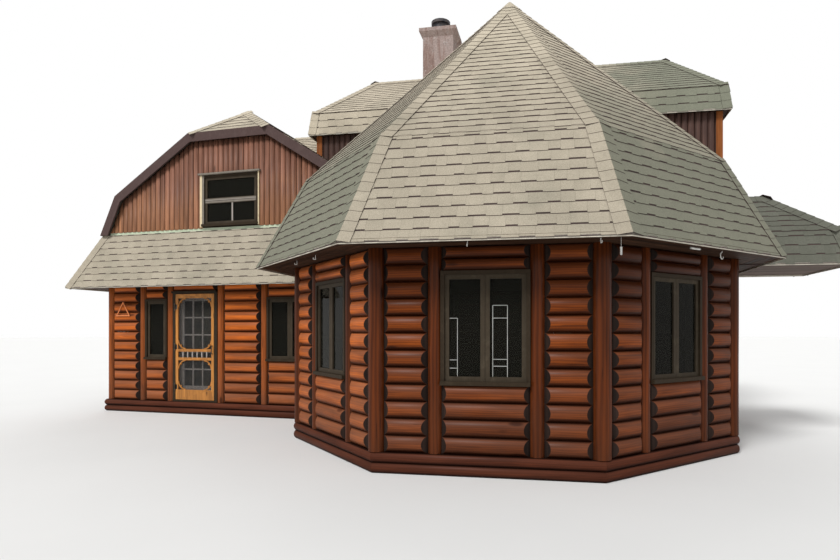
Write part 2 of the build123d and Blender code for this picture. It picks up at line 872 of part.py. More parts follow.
# Upper floor over the wing and the block, flush with the wall grooves
with BuildPart() as upper_floor:
    with BuildSketch(wing_plane(wall_top)):
        with Locations((0, wing_depth / 2)):
            Rectangle(2 * (wing_half_width + log_groove), wing_depth + 2 * log_groove)
    extrude(amount=upper_floor_thickness)
    with BuildSketch(Plane.XY.offset(wall_top)):
        floor_left, floor_right = block_left - log_groove, block_right + log_groove
        floor_front, floor_back = block_front - log_groove, block_back + log_groove
        with Locations(((floor_left + floor_right) / 2, (floor_front + floor_back) / 2)):
            Rectangle(floor_right - floor_left, floor_back - floor_front)
    extrude(amount=upper_floor_thickness)
    with BuildSketch(Plane.XY.offset(wall_top)):
        with Locations(chimney_centre):
            Rectangle(chimney_width, chimney_depth)
    extrude(amount=upper_floor_thickness, mode=Mode.SUBTRACT)


def bell_roof(inset):
    """The pavilion roof's solid form, drawn in by a distance from its slopes."""
    low_slope = atan2(pavilion_kink_height - wall_top, pavilion_eave - pavilion_kink)
    high_slope = atan2(pavilion_peak_height - pavilion_kink_height, pavilion_kink - peak_flat)
    low_run = inset / sin(low_slope)
    high_drop = inset / cos(high_slope)
    eave = pavilion_eave - low_run
    low_rate, high_rate = tan(low_slope), tan(high_slope)
    # The lines of the two drawn-in slopes cross at the inner change of slope
    high_at_axis = pavilion_kink_height + pavilion_kink * high_rate - high_drop
    kink = (high_at_axis - wall_top - eave * low_rate) / (high_rate - low_rate)
    kink_height = high_at_axis - kink * high_rate
    peak_height = high_at_axis - peak_flat * high_rate
    base = wall_top - (cut if inset else 0)
    return [
        octagon_taper(eave + (wall_top - base) / low_rate, base, kink, kink_height),
        octagon_taper(kink, kink_height, peak_flat, peak_height),
    ]


def gambrel_points(inset, foot):
    """Corners of the wing roof's section, drawn in by a distance, down to a level."""
    low_rate = (wing_kink_height - wing_eave_height) / (wing_eave_half - wing_kink_half)
    low_slope, high_slope = atan2(low_rate, 1), atan2(wing_pitch, 1)
    low_run = inset / sin(low_slope)
    high_drop = inset / cos(high_slope)
    ridge = wing_kink_height + wing_kink_half * wing_pitch - high_drop
    eave = wing_eave_half - low_run
    # Half width where the drawn-in slopes cross
    kink = (ridge - wing_eave_height - eave * low_rate) / (wing_pitch - low_rate)
    kink_height = ridge - kink * wing_pitch
    foot_half = eave - (foot - wing_eave_height) / low_rate
    return [
        (-foot_half, foot),
        (foot_half, foot),
        (kink, kink_height),
        (0, ridge),
        (-kink, kink_height),
    ]


def wing_roof_form(inset):
    """The wing roof's solid forms: the pent skirt and the gambrel with clipped ends."""
    points = gambrel_points(inset, pent_top_height)
    top_half = points[1][0]
    base = wing_eave_height - (cut if inset else 0)
    low = gambrel_points(inset, base)[1][0]
    skirt_rate = (pent_top_height - wing_eave_height) / (wing_eave_reach - pent_top_reach)
    skirt_run = inset / sin(atan2(skirt_rate, 1))
    top_reach = pent_top_reach - skirt_run
    low_reach = top_reach + (pent_top_height - base) / skirt_rate
    skirt = leaning_box(
        wing_plane(),
        -low,
        low,
        -low_reach,
        wing_depth + low_reach,
        base,
        pent_top_height,
        low - top_half,
        low - top_half,
        low_reach - top_reach,
    )
    reach = gable_reach + (cut if inset else 0)
    with BuildPart() as gambrel:
        with BuildSketch(wing_section(-reach)):
            with BuildLine():
                Polyline(*gambrel_points(inset, pent_top_height - (cut if inset else 0)), close=True)
            make_face()
        extrude(amount=-(wing_depth + 2 * reach))
        drop = inset * sqrt(1 + gable_clip_pitch**2)
        clip = gable_clip_height - drop - (reach - gable_reach) * gable_clip_pitch
        top = wing_kink_height + wing_kink_half * wing_pitch + cut
        run = (top - clip) / gable_clip_pitch
        with BuildSketch(wing_side_section(-wing_eave_half)):
            for end, side in ((-reach, 1), (wing_depth + reach, -1)):
                with BuildLine():
                    Polyline(
                        (end - side * cut, clip - cut * gable_clip_pitch),
                        (end + side * run, top),
                        (end - side * cut, top),
                        close=True,
                    )
                make_face()
        extrude(amount=2 * wing_eave_half, mode=Mode.SUBTRACT)
    return [skirt, gambrel.part]


def hip_form(x0, x1, y0, y1, foot, peak, run0, run1, pitch_run):
    """A hip roof's solid form: ends run back, sides rise to a ridge along X."""
    middle = (y0 + y1) / 2
    with BuildPart() as hip:
        with BuildSketch(Plane(origin=(x0, middle, 0), x_dir=(0, 1, 0), z_dir=(1, 0, 0))):
            with BuildLine():
                Polyline((-pitch_run, foot), (pitch_run, foot), (0, peak), close=True)
            make_face()
        extrude(amount=x1 - x0)
        with BuildSketch(Plane(origin=(0, y1, 0), x_dir=(1, 0, 0), z_dir=(0, -1, 0))):
            with BuildLine():
                Polyline((x0, foot), (x1, foot), (x1 - run1, peak), (x0 + run0, peak), close=True)
            make_face()
        extrude(amount=y1 - y0, mode=Mode.INTERSECT)
    return hip.part


def block_roof_form(inset):
    """The block roof's solid forms: a steep band and the hip above it."""
    reach = block_eave_reach - inset
    x0, x1 = block_left - reach, block_right + reach
    y0, y1 = block_front - reach, block_back + reach
    band_top = block_eave_height + block_band_height
    half = (y1 - y0) / 2 - block_band_lean
    rise = block_ridge_rise
    drop = 0
    if inset:
        drop = inset * (sqrt(1 + (rise / (half + inset)) ** 2) - rise / (half + inset))
    foot = block_eave_height - (cut if inset else 0)
    lean = block_band_lean
    band = leaning_box(Plane.XY, x0, x1, y0, y1, foot, band_top - drop, lean, lean, lean)
    share = half / (half + inset)
    hip = hip_form(
        x0 + lean,
        x1 - lean,
        y0 + lean,
        y1 - lean,
        band_top - drop,
        band_top - drop + rise * share,
        block_end_run * share,
        block_end_run * share,
        half,
    )
    return [band, hip]


def canopy_form(inset):
    """The canopy roof's solid forms, starting inside the pavilion's roof."""
    start = apothem
    x1 = canopy_end - inset
    y0 = canopy_centre - canopy_half_width + inset
    y1 = canopy_centre + canopy_half_width - inset
    half = canopy_half_width - inset - canopy_kink_inset
    drop = inset * (sqrt(1 + canopy_pitch**2) - canopy_pitch)
    kink = canopy_kink_height - drop
    foot = wall_top - (cut if inset else 0)
    lean = canopy_kink_inset
    band = leaning_box(Plane.XY, start, x1, y0, y1, foot, kink, 0, lean, lean)
    hip = hip_form(
        start - apothem,
        x1 - lean,
        y0 + lean,
        y1 - lean,
        kink,
        kink + half * canopy_pitch,
        0,
        half,
        half,
    )
    return [band, hip]


# Chimney, from the ground floor through the upper floor and the roof
with BuildPart() as chimney:
    with BuildSketch(Plane.XY.offset(sill_height)):
        with Locations(chimney_centre):
            Rectangle(chimney_width, chimney_depth)
    extrude(amount=chimney_top - sill_height)
    corbel_top = chimney_top - chimney_cap_thickness
    add(
        leaning_box(
            Plane.XY,
            chimney_centre[0] - chimney_width / 2,
            chimney_centre[0] + chimney_width / 2,
            chimney_centre[1] - chimney_depth / 2,
            chimney_centre[1] + chimney_depth / 2,
            corbel_top - chimney_corbel,
            corbel_top,
            -chimney_cap_reach,
            -chimney_cap_reach,
            -chimney_cap_reach,
        )
    )
    with BuildSketch(Plane.XY.offset(corbel_top)):
        with Locations(chimney_centre):
            Rectangle(chimney_width + 2 * chimney_cap_reach, chimney_depth + 2 * chimney_cap_reach)
    extrude(amount=chimney_cap_thickness)
    with BuildSketch(Plane.XY.offset(chimney_top)):
        with Locations(chimney_centre):
            RegularPolygon(flue_bore, flue_sides)
    extrude(amount=-flue_depth, mode=Mode.SUBTRACT)
export_node(chimney, "chimney")

with BuildPart() as chimney_flue:
    rim_foot = chimney_top + flue_height
    for level, radius, rise in (
        (chimney_top, flue_radius, flue_height),
        (rim_foot, flue_rim_radius, flue_rim_height),
    ):
        with BuildSketch(Plane.XY.offset(level)):
            with Locations(chimney_centre):
                RegularPolygon(radius, flue_sides)
                RegularPolygon(flue_bore, flue_sides, mode=Mode.SUBTRACT)
        extrude(amount=rise)
export_node(chimney_flue, "chimney_flue")

with BuildPart() as shaft_body:
    with BuildSketch():
        with Locations(chimney_centre):
            Rectangle(chimney_width, chimney_depth)
    extrude(amount=tall)

block_log_body = plan_prism(
    Plane.XY,
    block_left,
    block_right + log_outer + soffit_fit,
    block_front,
    block_back + log_outer + soffit_fit,
    wall_top,
)
pavilion_form = bell_roof(0)
wing_form = wing_roof_form(0)
block_form = block_roof_form(0)
pavilion_body = octagon_prism(apothem + log_outer + soffit_fit, 0, wall_top)

export_node(upper_floor, "upper_floor")

# Gable walls, plain behind their half-log boards
inner_gambrel = gambrel_points(roof_thickness, upper_wall_foot)
clip_inner = (
    gable_clip_height
    + (gable_reach - board_wall_outer) * gable_clip_pitch
    - roof_thickness * sqrt(1 + gable_clip_pitch**2)
)
gable_walls = {}
gable_places = (("front", -board_wall_outer, -1), ("back", wing_depth + board_wall_outer, 1))
for gable_name, wall_at, side in gable_places:
    with BuildPart() as gable:
        with BuildSketch(wing_section(wall_at)):
            with BuildLine():
                Polyline(*inner_gambrel, close=True)
            make_face()
            with Locations((0, clip_inner + tall / 2)):
                Rectangle(2 * wing_eave_half, tall, mode=Mode.SUBTRACT)
            with Locations((0, gable_window_bottom + gable_window_height / 2)):
                Rectangle(2 * gable_window_half, gable_window_height, mode=Mode.SUBTRACT)
        extrude(amount=side * (board_wall_outer + board_wall_inner))
        if gable_name == "front":
            add(block_body, mode=Mode.SUBTRACT)
    export_node(gable, f"{gable_name}_gable_wall")
    gable_walls[gable_name] = gable.part

# Soffit round the block's eaves
block_walls_height = block_eave_height - upper_wall_foot
block_middle = ((block_left + block_right) / 2, (block_front + block_back) / 2)
block_long, block_wide = block_right - block_left, block_back - block_front
with BuildPart() as block_soffit:
    with BuildSketch(Plane.XY.offset(block_eave_height)):
        with Locations(block_middle):
            Rectangle(block_long + 2 * block_eave_reach, block_wide + 2 * block_eave_reach)
            Rectangle(
                block_long - 2 * board_wall_inner, block_wide - 2 * board_wall_inner, mode=Mode.SUBTRACT
            )
    extrude(amount=soffit_thickness)
export_node(block_soffit, "block_soffit")

# Roofs
with BuildPart() as pavilion_roof:
    add(pavilion_form)
    add(bell_roof(roof_thickness), mode=Mode.SUBTRACT)
    with BuildSketch(Plane.XY.offset(wall_top)):
        RegularPolygon(2 * pavilion_eave, pavilion_sides, rotation=pavilion_bend / 2)
    extrude(amount=soffit_thickness, mode=Mode.SUBTRACT)
    add(block_body, mode=Mode.SUBTRACT)
    add(wing_form, mode=Mode.SUBTRACT)
    add(block_form, mode=Mode.SUBTRACT)
    add(block_soffit.part, mode=Mode.SUBTRACT)
    add(upper_floor.part, mode=Mode.SUBTRACT)
export_node(pavilion_roof, "pavilion_roof")

with BuildPart() as wing_roof:
    add(wing_form)
    add(wing_roof_form(roof_thickness), mode=Mode.SUBTRACT)
    add(pavilion_form, mode=Mode.SUBTRACT)
    add(pavilion_body, mode=Mode.SUBTRACT)
    add(block_body, mode=Mode.SUBTRACT)
    add(block_form, mode=Mode.SUBTRACT)
    add(list(gable_walls.values()), mode=Mode.SUBTRACT)
    add(upper_floor.part, mode=Mode.SUBTRACT)
    add(block_log_body, mode=Mode.SUBTRACT)
    with BuildSketch(wing_plane(wing_eave_height)):
        with Locations((0, wing_depth / 2)):
            Rectangle(2 * (wing_eave_half + cut), wing_depth + 2 * (wing_eave_reach + cut))
    extrude(amount=soffit_thickness, mode=Mode.SUBTRACT)
export_node(wing_roof, "wing_roof")

with BuildPart() as block_roof:
    add(block_form)
    add(block_roof_form(roof_thickness), mode=Mode.SUBTRACT)
    add(shaft_body.part, mode=Mode.SUBTRACT)
    with BuildSketch(Plane.XY.offset(block_eave_height)):
        with Locations(((block_left + block_right) / 2, (block_front + block_back) / 2)):
            Rectangle(
                block_right - block_left + 2 * (block_eave_reach + cut),
                block_back - block_front + 2 * (block_eave_reach + cut),
            )
    extrude(amount=soffit_thickness, mode=Mode.SUBTRACT)
export_node(block_roof, "block_roof")

# Soffits
with BuildPart() as pavilion_soffit:
    add(octagon_prism(pavilion_eave, wall_top, wall_top + soffit_thickness))
    add(octagon_prism(apothem - wall_inner, wall_top, wall_top + soffit_thickness), mode=Mode.SUBTRACT)
    add(block_body, mode=Mode.SUBTRACT)
    add(wing_form, mode=Mode.SUBTRACT)
    add(upper_floor.part, mode=Mode.SUBTRACT)
export_node(pavilion_soffit, "pavilion_soffit")

with BuildPart() as wing_soffit:
    with BuildSketch(wing_plane(wing_eave_height)):
        with Locations((0, wing_depth / 2)):
            wing_reach = log_outer + soffit_fit
            Rectangle(2 * wing_eave_half, wing_depth + 2 * wing_eave_reach)
            Rectangle(
                2 * (wing_half_width + wing_reach), wing_depth + 2 * wing_reach, mode=Mode.SUBTRACT
            )
    extrude(amount=soffit_thickness)
    add(pavilion_body, mode=Mode.SUBTRACT)
    add(block_log_body, mode=Mode.SUBTRACT)
export_node(wing_soffit, "wing_soffit")

# Walls of the upper block, plain behind their half-log boards
with BuildPart() as block_upper_walls:
    with BuildSketch(Plane.XY.offset(upper_wall_foot)):
        with Locations(block_middle):
            Rectangle(block_long + 2 * board_wall_outer, block_wide + 2 * board_wall_outer)
            Rectangle(
                block_long - 2 * board_wall_inner, block_wide - 2 * board_wall_inner, mode=Mode.SUBTRACT
            )
    extrude(amount=block_walls_height)
    add(gable_walls["back"], mode=Mode.SUBTRACT)
export_node(block_upper_walls, "block_upper_walls")

# Small cap on the pavilion's peak
with BuildPart() as pavilion_peak_cap:
    peak_rate = (pavilion_peak_height - pavilion_kink_height) / (pavilion_kink - peak_flat)
    peak_run = peak_cap_thickness / sin(atan2(peak_rate, 1))
    add(
        octagon_taper(
            peak_flat + peak_cap_overlap + peak_run,
            pavilion_peak_height - peak_cap_overlap * peak_rate,
            peak_flat + peak_run,
            pavilion_peak_height,
        )
    )
    add(
        octagon_taper(
            peak_flat + peak_run,
            pavilion_peak_height,
            peak_cap_thickness,
            pavilion_peak_height + peak_flat,
        )
    )
    add(pavilion_form, mode=Mode.SUBTRACT)
export_node(pavilion_peak_cap, "pavilion_peak_cap")

# Canopy over the side door
with BuildPart() as canopy_roof:
    add(canopy_form(0))
    add(canopy_form(roof_thickness), mode=Mode.SUBTRACT)
    add(pavilion_form, mode=Mode.SUBTRACT)
    below = plan_prism(Plane.XY, 0, canopy_end + cut, -tall, tall, wall_top + soffit_thickness)
    add(below, mode=Mode.SUBTRACT)
export_node(canopy_roof, "canopy_roof")

with BuildPart() as canopy_soffit:
    add(
        plan_prism(
            Plane.XY.offset(wall_top),
            pavilion_eave,
            canopy_end,
            canopy_centre - canopy_half_width,
            canopy_centre + canopy_half_width,
            soffit_thickness,
        )
    )
export_node(canopy_soffit, "canopy_soffit")

# Saddle roof between the wing's ridge and the block
wing_ridge = wing_kink_height + wing_kink_half * wing_pitch
saddle_thickness = roof_thickness * sqrt(1 + saddle_pitch**2)
saddle_start = (wing_centre[0], block_middle[1], wing_ridge)
with BuildPart() as saddle_roof:
    with BuildSketch(Plane(origin=saddle_start, x_dir=(0, 1, 0), z_dir=(1, 0, 0))):
        reach = block_wide / 2
        fall = reach * saddle_pitch
        with BuildLine():
            Polyline(
                (-reach, -fall),
                (0, 0),
                (reach, -fall),
                (reach, -fall - saddle_thickness),
                (0, -saddle_thickness),
                (-reach, -fall - saddle_thickness),
                close=True,
            )
        make_face()
    extrude(amount=block_left - wing_centre[0])
    add(wing_form, mode=Mode.SUBTRACT)
    add(block_body, mode=Mode.SUBTRACT)
    add(block_form, mode=Mode.SUBTRACT)
    add(block_soffit.part, mode=Mode.SUBTRACT)
    left_half = plan_prism(wing_plane(), -wing_eave_half, 0, -wing_depth, 2 * wing_depth, tall)
    add(left_half, mode=Mode.SUBTRACT)
export_node(saddle_roof, "saddle_roof")


def gable_outline(inset, foot):
    """Section of the wing roof with its clipped top, drawn in by a distance."""
    points = gambrel_points(inset, foot)
    ridge = points[3][1]
    top = gable_clip_height - inset
    half = (ridge - top) / wing_pitch
    return [points[0], points[1], points[2], (half, top), (-half, top), points[4]]


# Fascia boards along the gables' edges
with BuildPart() as wing_fascia:
    for board_at in (-gable_reach - fascia_thickness, wing_depth + gable_reach):
        with BuildSketch(wing_section(board_at)):
            with BuildLine():
                Polyline(*gable_outline(0, pent_top_height), close=True)
            make_face()
            with BuildLine():
                Polyline(*gable_outline(fascia_width, pent_top_height - cut), close=True)
            make_face(mode=Mode.SUBTRACT)
        extrude(amount=-fascia_thickness)
    add(pavilion_form, mode=Mode.SUBTRACT)
    add(block_body, mode=Mode.SUBTRACT)
    add(block_form, mode=Mode.SUBTRACT)
export_node(wing_fascia, "wing_fascia")

# Flashing along the head of the wing's pent roofs
with BuildPart() as wing_flashing:
    flashing_half = gambrel_points(roof_thickness, pent_top_height + flashing_height)[1][0]
    for strip_at in (-board_wall_outer - flashing_thickness, wing_depth + board_wall_outer):
        with BuildSketch(wing_section(strip_at)):
            with Locations((0, pent_top_height + flashing_height / 2)):
                Rectangle(2 * flashing_half, flashing_height)
        extrude(amount=-flashing_thickness)
    add(pavilion_form, mode=Mode.SUBTRACT)
    add(block_body, mode=Mode.SUBTRACT)
export_node(wing_flashing, "wing_flashing")


def corner_bracket(corner_x, corner_z, right, up):
    """A curved bracket across a panel's corner, with a small scroll on its inside."""
    centre = (
        corner_x + right * (bracket_radius - bracket_bite),
        corner_z + up * (bracket_radius - bracket_bite),
    )
    inner = bracket_radius - bracket_width
    slant = 1 / sqrt(2)
    steps = range(bracket_facets + 1)
    arc = [
        (
            centre[0] - right * radius * cos(radians(quarter * step / bracket_facets)),
            centre[1] - up * radius * sin(radians(quarter * step / bracket_facets)),
        )
        for radius, order in ((bracket_radius, steps), (inner, reversed(steps)))
        for step in order
    ]
    with BuildPart() as bracket:
        with BuildSketch(wing_front.face(0, screen_relief - bracket_thickness / 2)):
            with BuildLine():
                Polyline(*arc, close=True)
            make_face()
            for reach, drift, radius in scroll_lobes:
                run = (inner - reach) * slant
                with Locations(
                    (
                        centre[0] - right * (run + drift * slant),
                        centre[1] - up * (run - drift * slant),
                    )
                ):
                    RegularPolygon(radius, spindle_sides)
        extrude(amount=bracket_thickness)
    return bracket.part


# Front door: frame, entrance door and screen door
with BuildPart() as front_door_frame:
    add(door_frame(wing_front, door_bay[0], door_bay[1], leaf_span[0], leaf_span[1]))
export_node(front_door_frame, "front_door_frame")

with BuildPart() as front_door_hinges:
    add(frame_hinges(wing_front, leaf_span[0], screen_outer, door_frame_outer, 1))
    add(frame_hinges(wing_front, leaf_span[0], entrance_outer - entrance_thickness, -wall_inner, -1))
export_node(front_door_hinges, "front_door_hinges")

entrance_leaf, entrance_lights = door_leaf(wing_front, leaf_span[0], leaf_span[1])
with BuildPart() as entrance_door:
    add(entrance_leaf)
export_node(entrance_door, "entrance_door")
with BuildPart() as entrance_door_glass:
    add(entrance_lights)
export_node(entrance_door_glass, "entrance_door_glass")
with BuildPart() as entrance_door_fittings:
    add(door_knobs(wing_front, leaf_span[1] - entrance_stile / 2))
    add(leaf_hinges(wing_front, leaf_span[0], entrance_outer - entrance_thickness, -1))
export_node(entrance_door_fittings, "entrance_door_fittings")

screen_left, screen_right = leaf_span[0] + screen_stile, leaf_span[1] - screen_stile
screen_top = door_top - screen_top_rail
screen_foot = door_bottom + screen_bottom_rail
upper_mid = door_top - screen_upper_mid
lower_mid = upper_mid - screen_mid_step
screen_panels = (
    (upper_mid + screen_mid_rail / 2, screen_top),
    (lower_mid + screen_mid_rail / 2, upper_mid - screen_mid_rail / 2),
    (screen_foot, lower_mid - screen_mid_rail / 2),
)
with BuildPart() as screen_door:
    with BuildSketch(wing_front.face(0, screen_inner)):
        with Locations((door_middle, (door_bottom + door_top) / 2)):
            Rectangle(door_leaf_width, door_leaf_height)
        for low, high in screen_panels:
            with Locations((door_middle, (low + high) / 2)):
                Rectangle(screen_right - screen_left, high - low, mode=Mode.SUBTRACT)
    extrude(amount=screen_thickness)
    # Spindles between the two middle rails
    spindle_low, spindle_high = screen_panels[1]
    spindle_step = (screen_right - screen_left) / (spindle_count + 1)
    for number in range(spindle_count):
        spot = wing_front.point(screen_left + (number + 1) * spindle_step, screen_relief)
        with BuildSketch(Plane.XY.offset(spindle_low)):
            with Locations((spot.X, spot.Y)):
                RegularPolygon(spindle_radius, spindle_sides)
        extrude(amount=spindle_high - spindle_low)
    # Curved brackets in the corners of the upper and lower panels
    add(
        [
            corner_bracket(corner_x, corner_z, right, up)
            for low, high in (screen_panels[0], screen_panels[2])
            for corner_x, right in ((screen_left, 1), (screen_right, -1))
            for corner_z, up in ((low, 1), (high, -1))
        ]
    )
export_node(screen_door, "screen_door")

# Pull on the side away from the hinges
pull_x = leaf_span[1] - screen_stile / 2
pull_z = door_bottom + door_knob_height
with BuildPart() as screen_door_mesh:
    with BuildSketch(wing_front.face(0, screen_mesh_at)):
        for low, high in screen_panels:
            with Locations((door_middle, (low + high) / 2)):
                Rectangle(screen_right - screen_left, high - low)
    extrude(amount=screen_mesh_thickness)
export_node(screen_door_mesh, "screen_door_mesh")

with BuildPart() as screen_door_fittings:
    add(leaf_hinges(wing_front, leaf_span[0], screen_outer, 1))
    with BuildSketch(wing_front.face(0, screen_outer)):
        with Locations((pull_x, pull_z + pull_length / 2), (pull_x, pull_z - pull_length / 2)):
            RegularPolygon(pull_radius, knob_sides)
    extrude(amount=pull_reach)
    with BuildSketch(Plane.XY.offset(pull_z - pull_length / 2 - pull_radius)):
        grip = wing_front.point(pull_x, screen_outer + pull_reach)
        with Locations((grip.X, grip.Y)):
            RegularPolygon(pull_radius, knob_sides)
    extrude(amount=pull_length + 2 * pull_radius)
export_node(screen_door_fittings, "screen_door_fittings")

# Windows of the gables, and all the windows' frames, sashes and glass
for gable_wall in (wing_front, wing_back):
    gable_middle = wing_half_width
    fit_window(
        gable_wall,
        gable_middle - gable_window_half,
        gable_middle + gable_window_half,
        gable_window_bottom,
        gable_window_bottom + gable_window_height,
        1,
        2,
    )
with BuildPart() as window_frames:
    add(frames)
export_node(window_frames, "window_frames")
with BuildPart() as window_sashes:
    add(sashes)
export_node(window_sashes, "window_sashes")
with BuildPart() as window_glass:
    add(panes)
export_node(window_glass, "window_glass")

# Dinner triangle on the wing's front
with BuildPart() as dinner_triangle:
    triangle_x = wing_half_width + triangle_centre
    with BuildSketch(wing_front.face(0, log_outer)):
        half = triangle_side / 2
        rise = half * sqrt(3)
        with BuildLine():
            Polyline(
                (triangle_x - half, triangle_bottom),
                (triangle_x + half, triangle_bottom),
                (triangle_x, triangle_bottom + rise),
                close=True,
            )
        make_face()
        offset(amount=-triangle_bar, kind=Kind.INTERSECTION, mode=Mode.SUBTRACT)
    extrude(amount=triangle_bar)
export_node(dinner_triangle, "dinner_triangle")
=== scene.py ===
"""Dresses the log cabin: logs, posts, shingles, half-log boards, windows, doors and their finishes."""

import json
import logging
import math
import random
from collections.abc import Callable, Iterator, Sequence
from contextlib import contextmanager
from dataclasses import dataclass, field
from enum import Enum

import bmesh
import bpy
from mathutils import Matrix, Vector

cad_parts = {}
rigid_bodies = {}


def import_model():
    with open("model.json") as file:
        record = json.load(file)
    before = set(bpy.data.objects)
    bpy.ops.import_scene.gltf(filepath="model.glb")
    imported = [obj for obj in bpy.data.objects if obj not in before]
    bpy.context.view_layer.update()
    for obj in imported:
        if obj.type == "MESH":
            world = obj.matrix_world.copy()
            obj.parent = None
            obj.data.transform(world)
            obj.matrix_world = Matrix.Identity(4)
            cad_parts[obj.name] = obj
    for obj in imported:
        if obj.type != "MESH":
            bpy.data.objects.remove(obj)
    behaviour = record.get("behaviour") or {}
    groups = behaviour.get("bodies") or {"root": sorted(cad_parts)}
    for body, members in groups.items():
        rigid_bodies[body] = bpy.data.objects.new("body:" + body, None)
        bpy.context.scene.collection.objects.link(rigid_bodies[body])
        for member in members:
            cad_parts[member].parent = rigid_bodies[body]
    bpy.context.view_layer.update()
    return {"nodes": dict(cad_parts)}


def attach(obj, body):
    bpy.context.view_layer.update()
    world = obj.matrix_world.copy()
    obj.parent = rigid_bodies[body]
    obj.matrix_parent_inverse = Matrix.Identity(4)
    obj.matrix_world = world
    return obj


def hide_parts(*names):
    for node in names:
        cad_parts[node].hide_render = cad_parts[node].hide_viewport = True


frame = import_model()

log = logging.getLogger("cabin")

Colour = tuple[float, float, float]
Point = tuple[float, float, float]
Spot = tuple[float, float]
Numbers = Sequence[float]
Piece = bpy.types.Object
Node = bpy.types.Node
Socket = bpy.types.NodeSocket
Test = Callable[[Vector], bool]
Plane = tuple[Numbers, Numbers]

# Sizes of the building, in metres, in the part's frame
SILL_TOP = 0.235
WALL_TOP = 2.539
COURSE = 0.192
WALL_COURSES = 12
LOG_FACE = 0.095
LOG_GROOVE = 0.038
LOG_BACK = 0.075
EIGHTH = math.radians(45)
HALF_EIGHTH = EIGHTH / 2
POST_OFFSET = 0.568
PAVILION_SIDE = 2.5
PAVILION_APOTHEM = PAVILION_SIDE / 2 / math.tan(HALF_EIGHTH)
PAVILION_EAVE = 3.6
PAVILION_KINK = (2.955, 3.834)
PAVILION_PEAK = (0.07, 6.85)
PAVILION_HIGH_RATE = (PAVILION_PEAK[1] - PAVILION_KINK[1]) / (PAVILION_KINK[0] - PAVILION_PEAK[0])
WING_CENTRE = (-5.3, 0.586)
WING_TURN = -5.0
WING_HALF = 2.787
WING_DEPTH = 5.2
WING_STATIONS = (-2.787, -2.006, -1.36, -0.222, 0.718, 1.8)
WING_EAVE = (3.443, 2.456)
WING_EAVE_REACH = 0.47
WING_KINK = (2.6, 4.27)
WING_LOW_RATE = (WING_KINK[1] - WING_EAVE[1]) / (WING_EAVE[0] - WING_KINK[0])
WING_PITCH = 0.637
WING_RIDGE = WING_KINK[1] + WING_KINK[0] * WING_PITCH
PENT_TOP = 3.5
PENT_TOP_REACH = 0.06
GABLE_REACH = 0.12
CLIP_HEIGHT = 5.365
CLIP_PITCH = 0.883
BLOCK_X = (-3.805, 3.505)
BLOCK_Y = (1.25, 4.2)
BLOCK_MIDDLE = (BLOCK_Y[0] + BLOCK_Y[1]) / 2
BLOCK_EAVE = 5.395
BLOCK_REACH = 0.175
BLOCK_BAND = 0.415
BLOCK_LEAN = 0.05
BLOCK_RISE = 1.22
BLOCK_END_RUN = 0.73
BLOCK_EAVE_X = (BLOCK_X[0] - BLOCK_REACH, BLOCK_X[1] + BLOCK_REACH)
BLOCK_EAVE_Y = (BLOCK_Y[0] - BLOCK_REACH, BLOCK_Y[1] + BLOCK_REACH)
UPPER_FOOT = 2.699
CANOPY_Y = (-0.7, 1.1)
CANOPY_END = 4.8
CANOPY_INSET = 0.14
CANOPY_KINK = 3.01
CANOPY_PITCH = 0.855
GABLE_WINDOW = (0.61, 3.58, 0.98)

# How far inside another part of the building a point must lie to count as buried
DEEP = 0.05
DEEP_IN_BLOCK = 0.03
DEEP_IN_BLOCK_ROOF = 0.09
OVER_BLOCK_EAVE = 0.1
DEEP_IN_SADDLE = 0.02


# Benchwork: short calls for modelling in Blender


def let_go() -> None:
    """Leave edit mode and deselect everything."""
    if bpy.context.object and bpy.context.object.mode != "OBJECT":
        bpy.ops.object.mode_set(mode="OBJECT")
    bpy.ops.object.select_all(action="DESELECT")


def take(*pieces: Piece) -> None:
    """Select these pieces alone, the first one active."""
    let_go()
    for piece in pieces:
        piece.select_set(True)
    bpy.context.view_layer.objects.active = pieces[0]


@contextmanager
def editing(piece: Piece) -> Iterator[None]:
    """Edit mode on one piece, for the length of a with block."""
    take(piece)
    bpy.ops.object.mode_set(mode="EDIT")
    yield
    bpy.ops.object.mode_set(mode="OBJECT")


def added(name: str) -> Piece:
    """The primitive just added, named, with its place, turn and scale put into its mesh."""
    piece = bpy.context.object
    piece.name = name
    take(piece)
    bpy.ops.object.transform_apply(location=True, rotation=True, scale=True)
    return piece


def box(name: str, low: Numbers, high: Numbers) -> Piece:
    """A block between its lowest and highest corners, ready to be shaped."""
    let_go()
    middle = [(a + b) / 2 for a, b in zip(low, high)]
    span = [b - a for a, b in zip(low, high)]
    bpy.ops.mesh.primitive_cube_add(size=1, location=middle, scale=span)
    return added(name)


def rod(name: str, start: Numbers, end: Numbers, radius: float, sides: int = 16) -> Piece:
    """A round bar between two points, ready to be shaped.

    Args:
        name: the piece's name.
        start: the middle of one end.
        end: the middle of the other end.
        radius: the bar's radius.
        sides: how many flats it has round.

    Returns:
        The bar, with its place in its mesh.
    """
    let_go()
    first, last = Vector(start), Vector(end)
    run = last - first
    turn = run.to_track_quat("Z", "Y").to_euler()
    bpy.ops.mesh.primitive_cylinder_add(
        vertices=sides, radius=radius, depth=run.length, location=(first + last) / 2, rotation=turn
    )
    return added(name)


